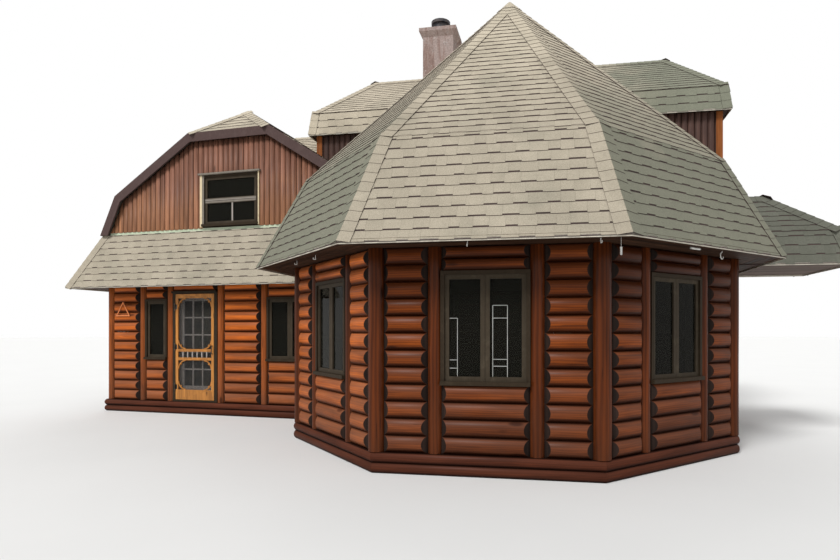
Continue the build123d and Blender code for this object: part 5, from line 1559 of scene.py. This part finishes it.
@dataclass
class Roofs:
    """All the roofs' shingles and caps, over beds that the CAD nodes are finished as."""

    covering: ShingleCovering = field(default_factory=ShingleCovering)
    skirt_foot: float = 6.745
    skirt_reach: float = 0.205
    skirt_run: float = 0.185
    skirt_edge: float = 0.02
    skirt_hollow: float = 0.012
    cap_top: float = 0.03
    wing_courses: int = 7

    def pavilion(self) -> None:
        """The bell-shaped roof's shingles and hip caps; two rear sides have no lower shingles."""
        work = RoofWork(self.covering, either(in_block, in_wing))
        rings = ((PAVILION_EAVE, WALL_TOP), PAVILION_KINK, PAVILION_PEAK)
        levels = tuple(enumerate(zip(rings[:-1], rings[1:])))
        outs: dict[tuple[int, int], Vector] = {}
        for index in range(-3, 5):
            for level, (low, high) in levels:
                left, right = octagon_corner(index, low), octagon_corner(index + 1, low)
                top_left, top_right = octagon_corner(index, high), octagon_corner(index + 1, high)
                along = (right - left).normalized()
                up = (top_left + top_right) / 2 - (left + right) / 2
                outs[index, level] = along.cross(up.normalized())
                if level == 0 and index in (4, -3):
                    continue
                trims = [hip_plane(left, top_left, -along), hip_plane(right, top_right, along)]
                trims.append((top_left, up.normalized()))
                work.face(f"pavilion_{index}_{level}", (left, right), up, trims)
        for index in range(-2, 5):
            for level, (low, high) in levels:
                if level == 0 and index == 4:
                    continue
                ends = octagon_corner(index, low), octagon_corner(index, high)
                work.hip(*ends, (outs[index - 1, level], outs[index, level]))
        work.finish("pavilion", work.buried, PAVILION_SHINGLE, self.skirt_foot + self.cap_top)
        self.skirt()

    def skirt(self) -> None:
        """The eight-sided skirt of shingle over the hips' heads."""
        let_go()
        ring = self.skirt_reach / math.cos(HALF_EIGHTH)
        rise = self.skirt_run * PAVILION_HIGH_RATE
        middle = (0, 0, self.skirt_foot + rise / 2)
        bpy.ops.mesh.primitive_cone_add(
            vertices=8, radius1=ring, radius2=ring * 0.1, depth=rise, location=middle, rotation=(0, 0, HALF_EIGHTH)
        )
        piece = added("pavilion_peak_skirt")
        with editing(piece):
            pick(piece, "FACE", lambda middle, normal: normal.z < -0.9)
            bpy.ops.mesh.inset(thickness=self.skirt_edge, depth=0)
            bpy.ops.transform.translate(value=(0, 0, self.skirt_hollow))
        rounded(piece, 0.004, 2, 25)
        # Underside dark: painted shadow under the skirt.
        two_tone(piece, (SHINGLE, SHINGLE_EDGE_AND_SHADOW), lambda normal: normal.z < 0)
        finished(piece, nodes=["pavilion_peak_cap"])

    def wing(self) -> None:
        """The wing's pent roofs, gambrel slopes, clipped gables and caps."""
        work = RoofWork(self.covering, either(in_pavilion, in_block), wing_place())
        upper = either(in_pavilion, in_block, in_saddle)
        half, foot = WING_EAVE
        kink, kink_height = WING_KINK
        top_half = half - (PENT_TOP - foot) / WING_LOW_RATE
        clip_half = (WING_RIDGE - CLIP_HEIGHT) / WING_PITCH
        clip_run = (WING_RIDGE - CLIP_HEIGHT) / CLIP_PITCH

        def out_by(facing: int, reach: float) -> float:
            """How far inwards lies what stands before the front (1) or back (-1) by a reach."""
            return -reach if facing > 0 else WING_DEPTH + reach

        def end_slope(
            name: str, facing: int, low: Point, high: Point, rate: float, more: list[Plane], buried: Test
        ) -> None:
            """A slope at the front or back, with its two hips; rate is the pitch of the slopes beside it."""
            up = (0, high[1] - low[1], high[2] - low[2])
            lines = {sign: ((sign * low[0], *low[1:]), (sign * high[0], *high[1:])) for sign in (-1, 1)}
            trims = more + [hip_plane(*lines[sign], (sign, 0, 0)) for sign in (-1, 1)]
            work.face(name, (lines[-facing][0], lines[facing][0]), up, trims, buried)
            for sign in (-1, 1):
                outs = ((sign * rate, 0, 1), (0, -facing * up[2], facing * up[1]))
                work.hip(*lines[sign], outs if sign == -facing else outs[::-1])

        for side, facing in (("front", 1), ("back", -1)):
            low = (half, out_by(facing, WING_EAVE_REACH), foot)
            high = (top_half, out_by(facing, PENT_TOP_REACH), PENT_TOP)
            top = [((0, *high[1:]), (0, high[1] - low[1], high[2] - low[2]))]
            end_slope(f"pent_{side}", facing, low, high, WING_LOW_RATE, top, work.buried)
        rakes = [((0, out_by(facing, GABLE_REACH), 0), (0, -facing, 0)) for facing in (1, -1)]
        clips = [
            ((0, out_by(facing, GABLE_REACH), CLIP_HEIGHT), (0, -facing * CLIP_PITCH, 1)) for facing in (1, -1)
        ]
        for sign in (-1, 1):
            eave = [(sign * half, out_by(sign * end, WING_EAVE_REACH), foot) for end in (1, -1)]
            way = (-sign * (half - kink), 0, kink_height - foot)
            trims = [((0, 0, PENT_TOP), (0, 0, 1))]
            for facing in (1, -1):
                low = (sign * half, out_by(facing, WING_EAVE_REACH), foot)
                high = (sign * top_half, out_by(facing, PENT_TOP_REACH), PENT_TOP)
                trims.append(hip_plane(low, high, (0, -facing, 0)))
            work.face(f"gambrel_low_{sign}", eave, way, trims)
            trims = rakes + [((0, 0, PENT_TOP), (0, 0, -1)), ((sign * kink, 0, kink_height), way)]
            work.face(f"gambrel_middle_{sign}", eave, way, trims, start=self.wing_courses * self.covering.exposure)
            eave = [(sign * kink, out_by(sign * end, GABLE_REACH), kink_height) for end in (1, -1)]
            trims = rakes + clips + [((0, 0, 0), (-sign, 0, 0))]
            work.face(f"gambrel_top_{sign}", eave, (-sign * kink, 0, WING_RIDGE - kink_height), trims, upper)
        for facing in (1, -1):
            b = out_by(facing, GABLE_REACH)
            low, high = (clip_half, b, CLIP_HEIGHT), (0, b + facing * clip_run, WING_RIDGE)
            end_slope(f"clip_{facing}", facing, low, high, WING_PITCH, [], upper)
        ridge = [(0, out_by(facing, GABLE_REACH) + facing * clip_run, WING_RIDGE) for facing in (1, -1)]
        work.hip(*ridge, ((-WING_PITCH, 0, 1), (WING_PITCH, 0, 1)))
        work.finish("wing", upper)

    def block(self) -> None:
        """The upper block's band and hip roof."""
        work = RoofWork(self.covering, in_pavilion)
        (x0, x1), (y0, y1) = BLOCK_EAVE_X, BLOCK_EAVE_Y
        middle, lean = (y0 + y1) / 2, BLOCK_LEAN
        band_top = BLOCK_EAVE + BLOCK_BAND
        ridge = [Vector((x0 + lean + BLOCK_END_RUN, middle, band_top + BLOCK_RISE))]
        ridge.append(Vector((x1 - lean - BLOCK_END_RUN, middle, band_top + BLOCK_RISE)))
        lows = [Vector((x, y, BLOCK_EAVE)) for x, y in ((x0, y0), (x1, y0), (x1, y1), (x0, y1))]
        xs, ys = (x0 + lean, x1 - lean), (y0 + lean, y1 - lean)
        mids = [Vector((xs[i], ys[j], band_top)) for i, j in ((0, 0), (1, 0), (1, 1), (0, 1))]
        tops = [ridge[0], ridge[1], ridge[1], ridge[0]]
        outs: dict[str, list[Vector]] = {"band": [], "hip": []}
        for number in range(4):
            along = (lows[(number + 1) % 4] - lows[number]).normalized()
            for kind, low, high in (("band", lows, mids), ("hip", mids, tops)):
                (a, b), (c, d) = ((ring[number], ring[(number + 1) % 4]) for ring in (low, high))
                way = (c + d - a - b) / 2
                outs[kind].append(along.cross(way.normalized()))
                trims = [hip_plane(a, c, -along), hip_plane(b, d, along)]
                if kind == "band":
                    trims.append((c, way))
                elif number % 2 == 0:
                    trims.append(((0, middle, 0), (0, 1 if number == 0 else -1, 0)))
                work.face(f"{kind}_{number}", (a, b), way, trims)
        for number in range(4):
            for kind, low, high in (("band", lows, mids), ("hip", mids, tops)):
                work.hip(low[number], high[number], (outs[kind][number - 1], outs[kind][number]))
        work.hip(*ridge, (outs["hip"][2], outs["hip"][0]))
        work.finish("block", work.buried)

    def saddle(self) -> None:
        """The saddle that joins the wing's ridge to the block, trimmed at its two valleys and at the wall."""
        work = RoofWork(self.covering, in_wing)
        reach = BLOCK_Y[1] - BLOCK_MIDDLE
        depth = (BLOCK_MIDDLE - WING_CENTRE[1]) / math.cos(math.radians(WING_TURN))
        crossing = (*wing_point(-0.05, depth), WING_RIDGE)
        for facing, y in ((1, BLOCK_Y[0]), (-1, BLOCK_Y[1])):
            foot = WING_RIDGE - reach * WING_PITCH
            eave = [(WING_CENTRE[0] - 0.4, y, foot), (BLOCK_X[0], y, foot)]
            valley = wing_place().to_3x3() @ Vector((-1, -facing, 0))
            trims = [((BLOCK_X[0] - 0.031, 0, 0), (1, 0, 0)), ((0, BLOCK_MIDDLE, 0), (0, facing, 0))]
            trims.append((crossing, valley))
            work.face(f"saddle_{facing}", eave[::facing], (0, facing * reach, reach * WING_PITCH), trims)
        top = ((crossing[0] + 0.1, BLOCK_MIDDLE, WING_RIDGE), (BLOCK_X[0] - 0.03, BLOCK_MIDDLE, WING_RIDGE))
        work.hip(*top, ((0, WING_PITCH, 1), (0, -WING_PITCH, 1)))
        finished(joined("saddle_shingles", work.shingles + work.caps))

    def canopy(self) -> None:
        """The canopy's band, hip and caps."""
        work = RoofWork(self.covering, in_pavilion)
        start, end, inset = PAVILION_APOTHEM, CANOPY_END, CANOPY_INSET
        middle = (CANOPY_Y[0] + CANOPY_Y[1]) / 2
        half = (CANOPY_Y[1] - CANOPY_Y[0]) / 2 - inset
        rise, top_rise = CANOPY_KINK - WALL_TOP, half * CANOPY_PITCH
        peak = (end - inset - half, middle, CANOPY_KINK + top_rise)
        lows, mids = [], []
        for facing, y in ((1, CANOPY_Y[0]), (-1, CANOPY_Y[1])):
            low = [(start, y, WALL_TOP), (end, y, WALL_TOP)]
            mid = [(x, y + facing * inset, CANOPY_KINK) for x in (start, end - inset)]
            lows.append(low[1])
            mids.append(mid[1])
            way = (0, facing * inset, rise)
            trims = [hip_plane(low[1], mid[1], (1, 0, 0)), ((0, y + facing * inset, CANOPY_KINK), way)]
            work.face(f"canopy_band_{facing}", low[::facing], way, trims)
            trims = [hip_plane(mid[1], peak, (1, 0, 0)), ((0, middle, 0), (0, facing, 0))]
            work.face(f"canopy_top_{facing}", mid[::facing], (0, facing * half, top_rise), trims)
        sides = ((0, -1, 0), (0, 1, 0))
        trims = [hip_plane(low, mid, side) for low, mid, side in zip(lows, mids, sides)]
        work.face("canopy_band_end", lows, (-inset, 0, rise), [*trims, (mids[0], (-inset, 0, rise))])
        trims = [hip_plane(mid, peak, side) for mid, side in zip(mids, sides)]
        work.face("canopy_top_end", mids, (-half, 0, top_rise), trims)
        steep = ((0, -rise, inset), (rise, 0, inset), (0, rise, inset))
        slack = ((0, -CANOPY_PITCH, 1), (CANOPY_PITCH, 0, 1), (0, CANOPY_PITCH, 1))
        for number in (0, 1):
            work.hip(lows[number], mids[number], steep[number : number + 2])
            work.hip(mids[number], peak, slack[number : number + 2])
        work.hip((start - 0.2, middle, peak[2]), peak, (slack[2], slack[0]))
        # Darker copy of the shingles: painted shade.
        work.finish("canopy", in_pavilion, SHADED_SHINGLE)

    def build(self) -> None:
        """Cover every roof."""
        self.pavilion()
        self.wing()
        self.block()
        self.saddle()
        self.canopy()
        bpy.data.objects.remove(self.covering.bench)
        for node in ("pavilion_roof", "wing_roof", "block_roof", "saddle_roof", "canopy_roof"):
            dress_node(node, SHINGLE_BED)


@dataclass
class HalfLogBoards:
    """Upright half-log boards on the gables and the upper block."""

    pitch: float = 0.1109
    bulge: float = 0.028
    seat: float = 0.03
    groove: float = 0.005
    facets: int = 28
    seat_lap: float = 0.004
    gable_foot: float = 0.055
    corner_share: float = 0.6
    gable_boards: int = 21
    gable_inset: float = 0.13

    def strip(self, low: float, high: float) -> Piece:
        """One board in a wall's frame, centred on x = 0."""
        half = self.pitch / 2
        radius = (half * half + self.bulge * self.bulge) / (2 * self.bulge)
        axis = radius - self.seat - self.bulge
        piece = rod("board", (0, axis, low), (0, axis, high), radius, self.facets)
        cut(piece, (0, self.seat_lap - self.seat, 0), (0, 1, 0))
        for sign in (1, -1):
            cut(piece, (sign * (half - self.groove), 0, 0), (sign, 0, 0))
        return smoothed(piece, 40)

    def run(self, left: float, right: float, low: float, high: float) -> Piece:
        """Boards side by side from one end to another."""
        count = max(1, round((right - left) / self.pitch))
        step = (right - left) / count
        fit = Matrix.Translation((left + step / 2, 0, 0)) @ Matrix.Diagonal((step / self.pitch, 1, 1, 1))
        return arrayed(moved(self.strip(low, high), fit), count, (step, 0, 0))

    def gable(self, name: str, place: Matrix) -> None:
        """The boards of one gable, cut to the roof's underside round its window."""
        window, sill, height = GABLE_WINDOW
        foot, reach = PENT_TOP + self.gable_foot, window + self.gable_boards * self.pitch
        runs = [
            self.run(-reach, -window, foot, CLIP_HEIGHT),
            self.run(window, reach, foot, CLIP_HEIGHT),
            self.run(-window, window, sill + height, CLIP_HEIGHT),
        ]
        piece = joined(name, runs)
        for sign in (-1, 1):
            kink = (sign * WING_KINK[0], 0, WING_KINK[1])
            for rate, spot in ((WING_LOW_RATE, kink), (WING_PITCH, (0, 0, WING_RIDGE))):
                normal = Vector((sign * rate, 0, 1)).normalized()
                cut(piece, Vector(spot) - normal * self.gable_inset, normal)
        cut(piece, (0, 0, CLIP_HEIGHT - self.gable_inset), (0, 0, 1))
        finished(drop_buried(moved(piece, place), either(in_pavilion, in_block)), BOARD_STAIN)

    def block(self) -> None:
        """The boards of the upper block's four walls."""
        (x0, x1), (y0, y1) = BLOCK_X, BLOCK_Y
        corners = [(x0, y0), (x1, y0), (x1, y1), (x0, y1)]
        reach = self.seat + self.bulge * self.corner_share
        pieces = []
        for start, end in zip(corners, [*corners[1:], corners[0]]):
            wall = Wall.between(start, end)
            pieces.append(moved(self.run(-reach, wall.length + reach, UPPER_FOOT, BLOCK_EAVE), wall.place))
        piece = drop_buried(joined("block_half_log_boards", pieces), either(in_pavilion, in_wing))
        finished(piece, UPPER_BOARD_STAIN)

    def build(self) -> None:
        """Board the gables and the block."""
        self.gable("front_gable_boards", wing_place())
        self.gable("back_gable_boards", wing_back_place())
        self.block()


@dataclass
class EaveBoards:
    """Narrow boards that line the undersides of the pavilion's eaves and of the canopy."""

    width: float = 0.094
    thick: float = 0.004
    seat: float = 0.0002
    gap: float = 0.004
    edge_round: float = 0.0012
    rows: int = 5
    canopy_rows: int = 9
    margin: float = 0.002
    canopy_margin: float = 0.01

    def boards(self, name: str, low: Spot, high: Spot, rows: int, step: float) -> Piece:
        """Boards side by side; the first one between two plan corners."""
        first = box(name, (*low, WALL_TOP - self.thick), (*high, WALL_TOP - self.seat))
        return arrayed(rounded(first, self.edge_round, 1, 60), rows, (0, step, 0))

    def side(self, index: int) -> None:
        """The boards under one side of the pavilion's eave, mitred at the hips."""
        wall = Wall.between(*(octagon_point(index + step, PAVILION_EAVE) for step in (0, 1)))
        name = f"pavilion_eave_boards_{index + 3}"
        piece = self.boards(name, (0, self.margin), (wall.length, self.width - self.gap), self.rows, self.width)
        slope = math.tan(HALF_EIGHTH)
        cut(piece, (0, 0, 0), (-1, slope, 0))
        cut(piece, (wall.length, 0, 0), (1, slope, 0))
        finished(moved(piece, wall.place), soffit_shade_stain(wall.heading))

    def build(self) -> None:
        """The boards of the sides that stand free, and the canopy's."""
        for index in range(-2, 3):
            self.side(index)
        margin = self.canopy_margin
        step = (CANOPY_Y[1] - CANOPY_Y[0] - 2 * margin) / self.canopy_rows
        low = (PAVILION_EAVE + margin, CANOPY_Y[0] + margin)
        high = (CANOPY_END - margin, CANOPY_Y[0] + margin + step - self.gap)
        piece = self.boards("canopy_eave_boards", low, high, self.canopy_rows, step)
        finished(piece, CANOPY_STAIN)


@dataclass
class DripEdges:
    """A pale metal strip along every eave, under the shingles' ends."""

    proud: float = 0.006
    drop: float = 0.028
    lap: float = 0.004
    end_share: float = 0.6
    edge_round: float = 0.0015

    def strips(self, corners: Sequence[Spot], level: float) -> list[Piece]:
        """Strips along an eave whose corners run anticlockwise."""
        made, more = [], self.proud * self.end_share
        for start, end in zip(corners[:-1], corners[1:]):
            wall = Wall.between(start, end)
            low = (-more, -self.proud, level - self.drop)
            piece = box("drip_edge", low, (wall.length + more, 0, level + self.lap))
            made.append(moved(rounded(piece, self.edge_round, 1), wall.place))
        return made

    def build(self) -> None:
        """The strips of every roof."""
        strips = self.strips([octagon_point(k, PAVILION_EAVE) for k in range(-2, 4)], WALL_TOP)
        half, level = WING_EAVE
        near, far = -WING_EAVE_REACH, WING_DEPTH + WING_EAVE_REACH
        spots = [wing_point(*spot) for spot in ((-half, near), (half, near), (half, far), (-half, far))]
        strips += self.strips([*spots, spots[0]], level)
        (x0, x1), (y0, y1) = BLOCK_EAVE_X, BLOCK_EAVE_Y
        strips += self.strips([(x0, y0), (x1, y0), (x1, y1), (x0, y1), (x0, y0)], BLOCK_EAVE)
        (x0, x1), (y0, y1) = (PAVILION_EAVE, CANOPY_END), CANOPY_Y
        strips += self.strips([(x0, y0), (x1, y0), (x1, y1), (x0, y1)], WALL_TOP)
        piece = drop_buried(joined("drip_edges", strips), either(in_pavilion, in_wing))
        finished(piece, DRIP_PAINT)


@dataclass
class Trims:
    """Trim boards, the gable window's bars, cames in the leaded glass and hooks under the eaves."""

    came: float = 0.007
    came_faces: Spot = (-3.0505, -3.0428)
    came_rise: Spot = (1.098, 2.173)
    spindle_run: Spot = (-1.167, -0.415)
    spindle_rise: Spot = (1.0855, 1.1975)
    spindle_depth: float = -0.049
    spindle_radius: float = 0.0108
    spindle_swell: float = 0.3
    spindle_bead: float = 0.16
    spindle_count: int = 6
    corner_board: Spot = (-0.045, 0.066)
    hook_reach: float = 0.2
    hook_drop: float = 0.055
    hook_lip: Spot = (0.03, 0.022)
    hook_wire: float = 0.0045
    large_wire: float = 0.0065
    large_shank: float = 0.012
    large_radius: float = 0.04
    large_bend: float = -4.4
    tag_drops: Spot = (0.1, 0.18)
    plate_drop: float = 0.012

    def build(self) -> None:
        """All trims."""
        self.gable_window("front", wing_place())
        self.gable_window("back", wing_back_place())
        self.spindles()
        self.triangle()
        self.cames()
        self.corner_boards()
        self.hooks()

    def gable_window(self, side: str, place: Matrix) -> None:
        """Pale boards beside a gable's window, its head cap, its meeting rail and its bar."""
        half, foot, height = GABLE_WINDOW
        top = foot + height
        boards = [
            ((-half - 0.046, -0.08, foot - 0.01), (-half + 0.004, -0.05, top)),
            ((half - 0.004, -0.076, foot - 0.01), (half + 0.02, -0.05, top)),
        ]
        rails = [
            ((-half - 0.07, -0.112, top - 0.004), (half + 0.05, -0.03, top + 0.03)),
            ((-half + 0.046, -0.05, top - 0.484), (half - 0.046, -0.04, top - 0.452)),
            ((-half + 0.046, -0.0495, top - 0.532), (half - 0.046, -0.042, top - 0.494)),
            ((-half + 0.003, -0.0745, foot + 0.04), (-half + 0.044, -0.066, top - 0.004)),
        ]
        bar = [
            ((-half + 0.046, -0.054, top - 0.486), (half - 0.046, -0.048, top - 0.478)),
            ((0.022, -0.044, foot + 0.09), (0.048, -0.014, foot + 0.445)),
        ]
        for kind, corners, edge, paint in (
            ("boards", boards, 0.004, TRIM_PAINT),
            ("rails", rails, 0.003, TAUPE_PAINT),
            ("bar", bar, 0.002, BAR_PAINT),
        ):
            parts = [rounded(box("trim", low, high), edge) for low, high in corners]
            finished(moved(joined(f"{side}_gable_window_{kind}", parts), place), paint)

    def spindles(self) -> None:
        """Turned pale spindles round those between the screen door's middle rails."""
        (left, right), (low, high) = self.spindle_run, self.spindle_rise
        parts = []
        for number in range(1, self.spindle_count + 1):
            x, y = wing_point(left + number * (right - left) / (self.spindle_count + 1), self.spindle_depth)
            piece = ringed(rod("spindle", (x, y, low), (x, y, high), self.spindle_radius, 14), 9)
            for vertex in piece.data.vertices:
                share = (vertex.co.z - low) / (high - low)
                bead = self.spindle_bead if 0.09 < share < 0.13 or 0.87 < share < 0.91 else 0
                swell = 1 + self.spindle_swell * math.sin(math.pi * share) ** 2 + bead
                vertex.co.x = x + (vertex.co.x - x) * swell
                vertex.co.y = y + (vertex.co.y - y) * swell
            parts.append(smoothed(piece, 50))
        piece = joined("screen_door_spindles", parts)
        finished(piece, SPINDLE_PAINT, body="screen_door")

    def triangle(self) -> None:
        """The round-barred dinner triangle on its nail."""
        middle, foot, side, radius, out = -2.43, 1.886, 0.342, 0.0105, -0.1065
        rise = side * math.sqrt(3) / 2
        inset = radius / math.tan(math.radians(30))
        spots = [
            Vector((middle - side / 2 + inset, out, foot + radius)),
            Vector((middle + side / 2 - inset, out, foot + radius)),
            Vector((middle, out, foot + rise - 2 * radius)),
        ]
        parts = []
        for first, last in zip(spots, spots[1:] + spots[:1]):
            parts.append(rod("bar", first, last, radius, 12))
            let_go()
            bpy.ops.mesh.primitive_uv_sphere_add(segments=12, ring_count=8, radius=radius * 1.02, location=first)
            parts.append(added("ball"))
        nail = spots[2] + Vector((0, 0, -radius - 0.003))
        parts.append(rod("nail", nail + Vector((0, 0.06, 0)), nail + Vector((0, -0.014, 0.004)), 0.003, 8))
        piece = moved(smoothed(joined("round_dinner_triangle", parts), 60), wing_place())
        finished(piece, TRIANGLE_PAINT, ["dinner_triangle"])

    def cames(self) -> None:
        """Plain lead cames in a border pattern on the front casements' glass.

        Each casement has its left and right ends, the shares of its width where a came stands, and the
        shares of its width and height where each level one starts, ends and lies.
        """
        (low, high), (front, back), wide = self.came_rise, self.came_faces, self.came / 2
        bars = []
        for left, right, posts, rails in (
            (-0.401, -0.052, (0.26,), ((0.0, 0.26, 0.4), (0.0, 0.26, 0.83), (0.0, 0.26, 0.915))),
            (
                0.052, 0.401, (0.09, 0.55),
                ((0.09, 0.55, 0.27), (0.09, 0.55, 0.4), (0.09, 0.55, 0.82), (0.09, 0.55, 0.89)),
            ),
        ):
            span = right - left
            for share in posts:
                x, top = left + share * span, high - rails[0][2] * (high - low)
                bars.append(box("came", (x - wide, front, low + 0.001), (x + wide, back, top)))
            for start, end, share in rails:
                z = high - share * (high - low)
                near = (left + start * span + 0.001, front, z - wide)
                bars.append(box("came", near, (left + end * span, back, z + wide)))
        finished(joined("lead_cames", [rounded(bar, 0.0015, 1) for bar in bars]), LEAD)

    def corner_boards(self) -> None:
        """Upright boards at the upper block's corners."""
        boards = []
        for x, way in zip(BLOCK_X, (-1, 1)):
            for y, out in zip(BLOCK_Y, (-1, 1)):
                xs, ys = (sorted(at + sign * step for step in self.corner_board) for at, sign in ((x, way), (y, out)))
                boards.append(rounded(box("corner", (xs[0], ys[0], UPPER_FOOT), (xs[1], ys[1], BLOCK_EAVE)), 0.008))
        finished(joined("block_corner_boards", boards), CORNER_STAIN)

    def hooks(self) -> None:
        """Small white hooks screwed up into the pavilion's eave boards."""
        parts = []
        for index, share in ((-1, 0.38), (-1, 0.62), (0, 0.45), (0, 0.93)):
            top = self.under_eave(index, share)
            foot = top - Vector((0, 0, self.hook_drop))
            lip = foot + Vector((top.x, top.y, 0)).normalized() * self.hook_lip[0]
            parts += self.wire([top, foot, lip, lip + Vector((0, 0, self.hook_lip[1]))], self.hook_wire)
        parts += self.large_hook(self.under_eave(1, 0.64), self.large_radius)
        top = self.under_eave(1, 0.0)
        neck, foot = (top - Vector((0, 0, drop)) for drop in self.tag_drops)
        parts += self.wire([top, neck], 0.002) + self.wire([neck, foot], 0.011, 12)
        plate = [self.under_eave(1, share) - Vector((0, 0, self.plate_drop)) for share in (0.42, 0.48)]
        parts += self.wire(plate, 0.013, 12)
        finished(smoothed(joined("eave_hooks", parts)), HOOK_PAINT)

    @staticmethod
    def wire(points: Sequence[Vector], radius: float, sides: int = 8) -> list[Piece]:
        """Round bars from each point to the next."""
        return [rod("hook", start, end, radius, sides) for start, end in zip(points, points[1:])]

    def under_eave(self, index: int, share: float) -> Vector:
        """A spot on the pavilion's eave boards, at a share of one side's length."""
        reach = PAVILION_EAVE - self.hook_reach
        return octagon_corner(index, (reach, WALL_TOP)).lerp(octagon_corner(index + 1, (reach, WALL_TOP)), share)

    def large_hook(self, top: Vector, radius: float) -> list[Piece]:
        """An open round hook on a short shank.

        Args:
            top: where it is screwed in.
            radius: of its bend.

        Returns:
            Its pieces.
        """
        centre = top - Vector((0, 0, self.large_shank + radius))
        across = Vector((-top.y, top.x, 0)).normalized()
        turns = [self.large_bend * step / 9 for step in range(10)]
        bends = [centre + radius * (across * math.sin(turn) + Vector((0, 0, math.cos(turn)))) for turn in turns]
        return self.wire(bends, self.large_wire) + self.wire([top, bends[0]], self.large_wire)


@dataclass
class Studio:
    """The camera, lamps, world and floor; each lamp has a name, a turn, an energy and a spread in degrees."""

    lens: float = 24.35
    shift: Spot = (-0.0476, 0.0598)
    eye: Point = (0.815, -9.24, 1.61)
    swing: float = 10.04
    sight: float = 400
    suns: tuple[tuple[str, Point, float, float], ...] = (
        ("key", (44, 0, -22), 2.4, 18),
        ("fill", (60, 0, 50), 0.22, 60),
        ("back", (52, 0, 190), 0.8, 50),
    )
    ambient: float = 0.4
    seen_more: float = 0.6
    floor_radius: float = 150

    def build(self) -> None:
        """Set up all of the studio."""
        self.camera()
        self.lamps()
        self.world()
        self.floor()

    def camera(self) -> None:
        """The camera at the photograph's place."""
        data = bpy.data.cameras.new("photo_camera")
        data.lens = self.lens
        data.shift_x, data.shift_y = self.shift
        data.clip_end = self.sight
        camera = bpy.data.objects.new("photo_camera", data)
        camera.location = self.eye
        camera.rotation_euler = (math.radians(90), 0, math.radians(self.swing))
        bpy.context.collection.objects.link(camera)
        bpy.context.scene.camera = camera
        bpy.context.scene.view_settings.view_transform = "Standard"

    def lamps(self) -> None:
        """Broad soft lamps: a high key from the front and left, a fill from the right and one behind."""
        for name, turn, energy, spread in self.suns:
            data = bpy.data.lights.new(name, "SUN")
            data.energy = energy
            data.angle = math.radians(spread)
            lamp = bpy.data.objects.new(name, data)
            lamp.rotation_euler = [math.radians(value) for value in turn]
            bpy.context.collection.objects.link(lamp)

    def world(self) -> None:
        """An even world that the camera sees as white."""
        world = bpy.data.worlds.new("studio_world")
        world.use_nodes = True
        bpy.context.scene.world = world
        tree = Tree(world.node_tree)
        path = tree.node("ShaderNodeLightPath").outputs
        seen = tree.maths("MAXIMUM", path["Is Camera Ray"], path["Is Transmission Ray"])
        seen = tree.maths("MAXIMUM", seen, path["Is Glossy Ray"])
        strength = tree.times_add(seen, self.seen_more, self.ambient)
        tree.fill(world.node_tree.nodes["Background"], {"Strength": strength, "Color": (1, 1, 1)})

    def floor(self) -> None:
        """A wide plain floor."""
        let_go()
        bpy.ops.mesh.primitive_circle_add(
            vertices=96, radius=self.floor_radius, fill_type="NGON", location=(0, 0, 0)
        )
        piece = added("studio_floor")
        piece.data.materials.append(GROUND.material())


def dress_nodes() -> None:
    """Give every CAD node that stays its finish."""
    for finish, nodes in (
        (FLOOR_STAIN, ("ground_floor", "upper_floor")),
        (FRAME_PAINT, ("window_frames", "front_door_frame", "side_door_frame")),
        (SASH_PAINT, ("window_sashes",)),
        (GLASS, ("window_glass", "entrance_door_glass")),
        (FITTING_METAL, ("front_door_hinges", "entrance_door_fittings", "screen_door_fittings", "side_door_knobs")),
        (DOOR_PAINT, ("entrance_door", "side_door")),
        (SCREEN_STAIN, ("screen_door",)),
        (GAUZE, ("screen_door_mesh",)),
        # Dark eave undersides: painted shade.
        (soffit_shade_stain(), ("pavilion_soffit", "wing_soffit", "block_soffit")),
        (CANOPY_STAIN, ("canopy_soffit",)),
        (CAP_METAL, ("pavilion_peak_cap",)),
        (FASCIA_PAINT, ("wing_fascia",)),
        (FLASHING_PAINT, ("wing_flashing",)),
        # Near-black backing: painted shade between the boards.
        (GROOVE_SHADE, ("front_gable_wall", "back_gable_wall", "block_upper_walls")),
        (CHIMNEY_RENDER, ("chimney",)),
        (FLUE_METAL, ("chimney_flue",)),
        (TRIANGLE_PAINT, ("dinner_triangle",)),
    ):
        for node in nodes:
            dress_node(node, finish)


def main() -> None:
    """Build the studio and the cabin, piece by piece."""
    logging.basicConfig(level=logging.INFO, format="%(name)s: %(message)s")
    EFFECTS.build()
    for work in (Studio, LogWalls, Posts, Sills, Roofs, HalfLogBoards, EaveBoards, DripEdges, Trims):
        work().build()
    dress_nodes()


if __name__ == "__main__":
    main()
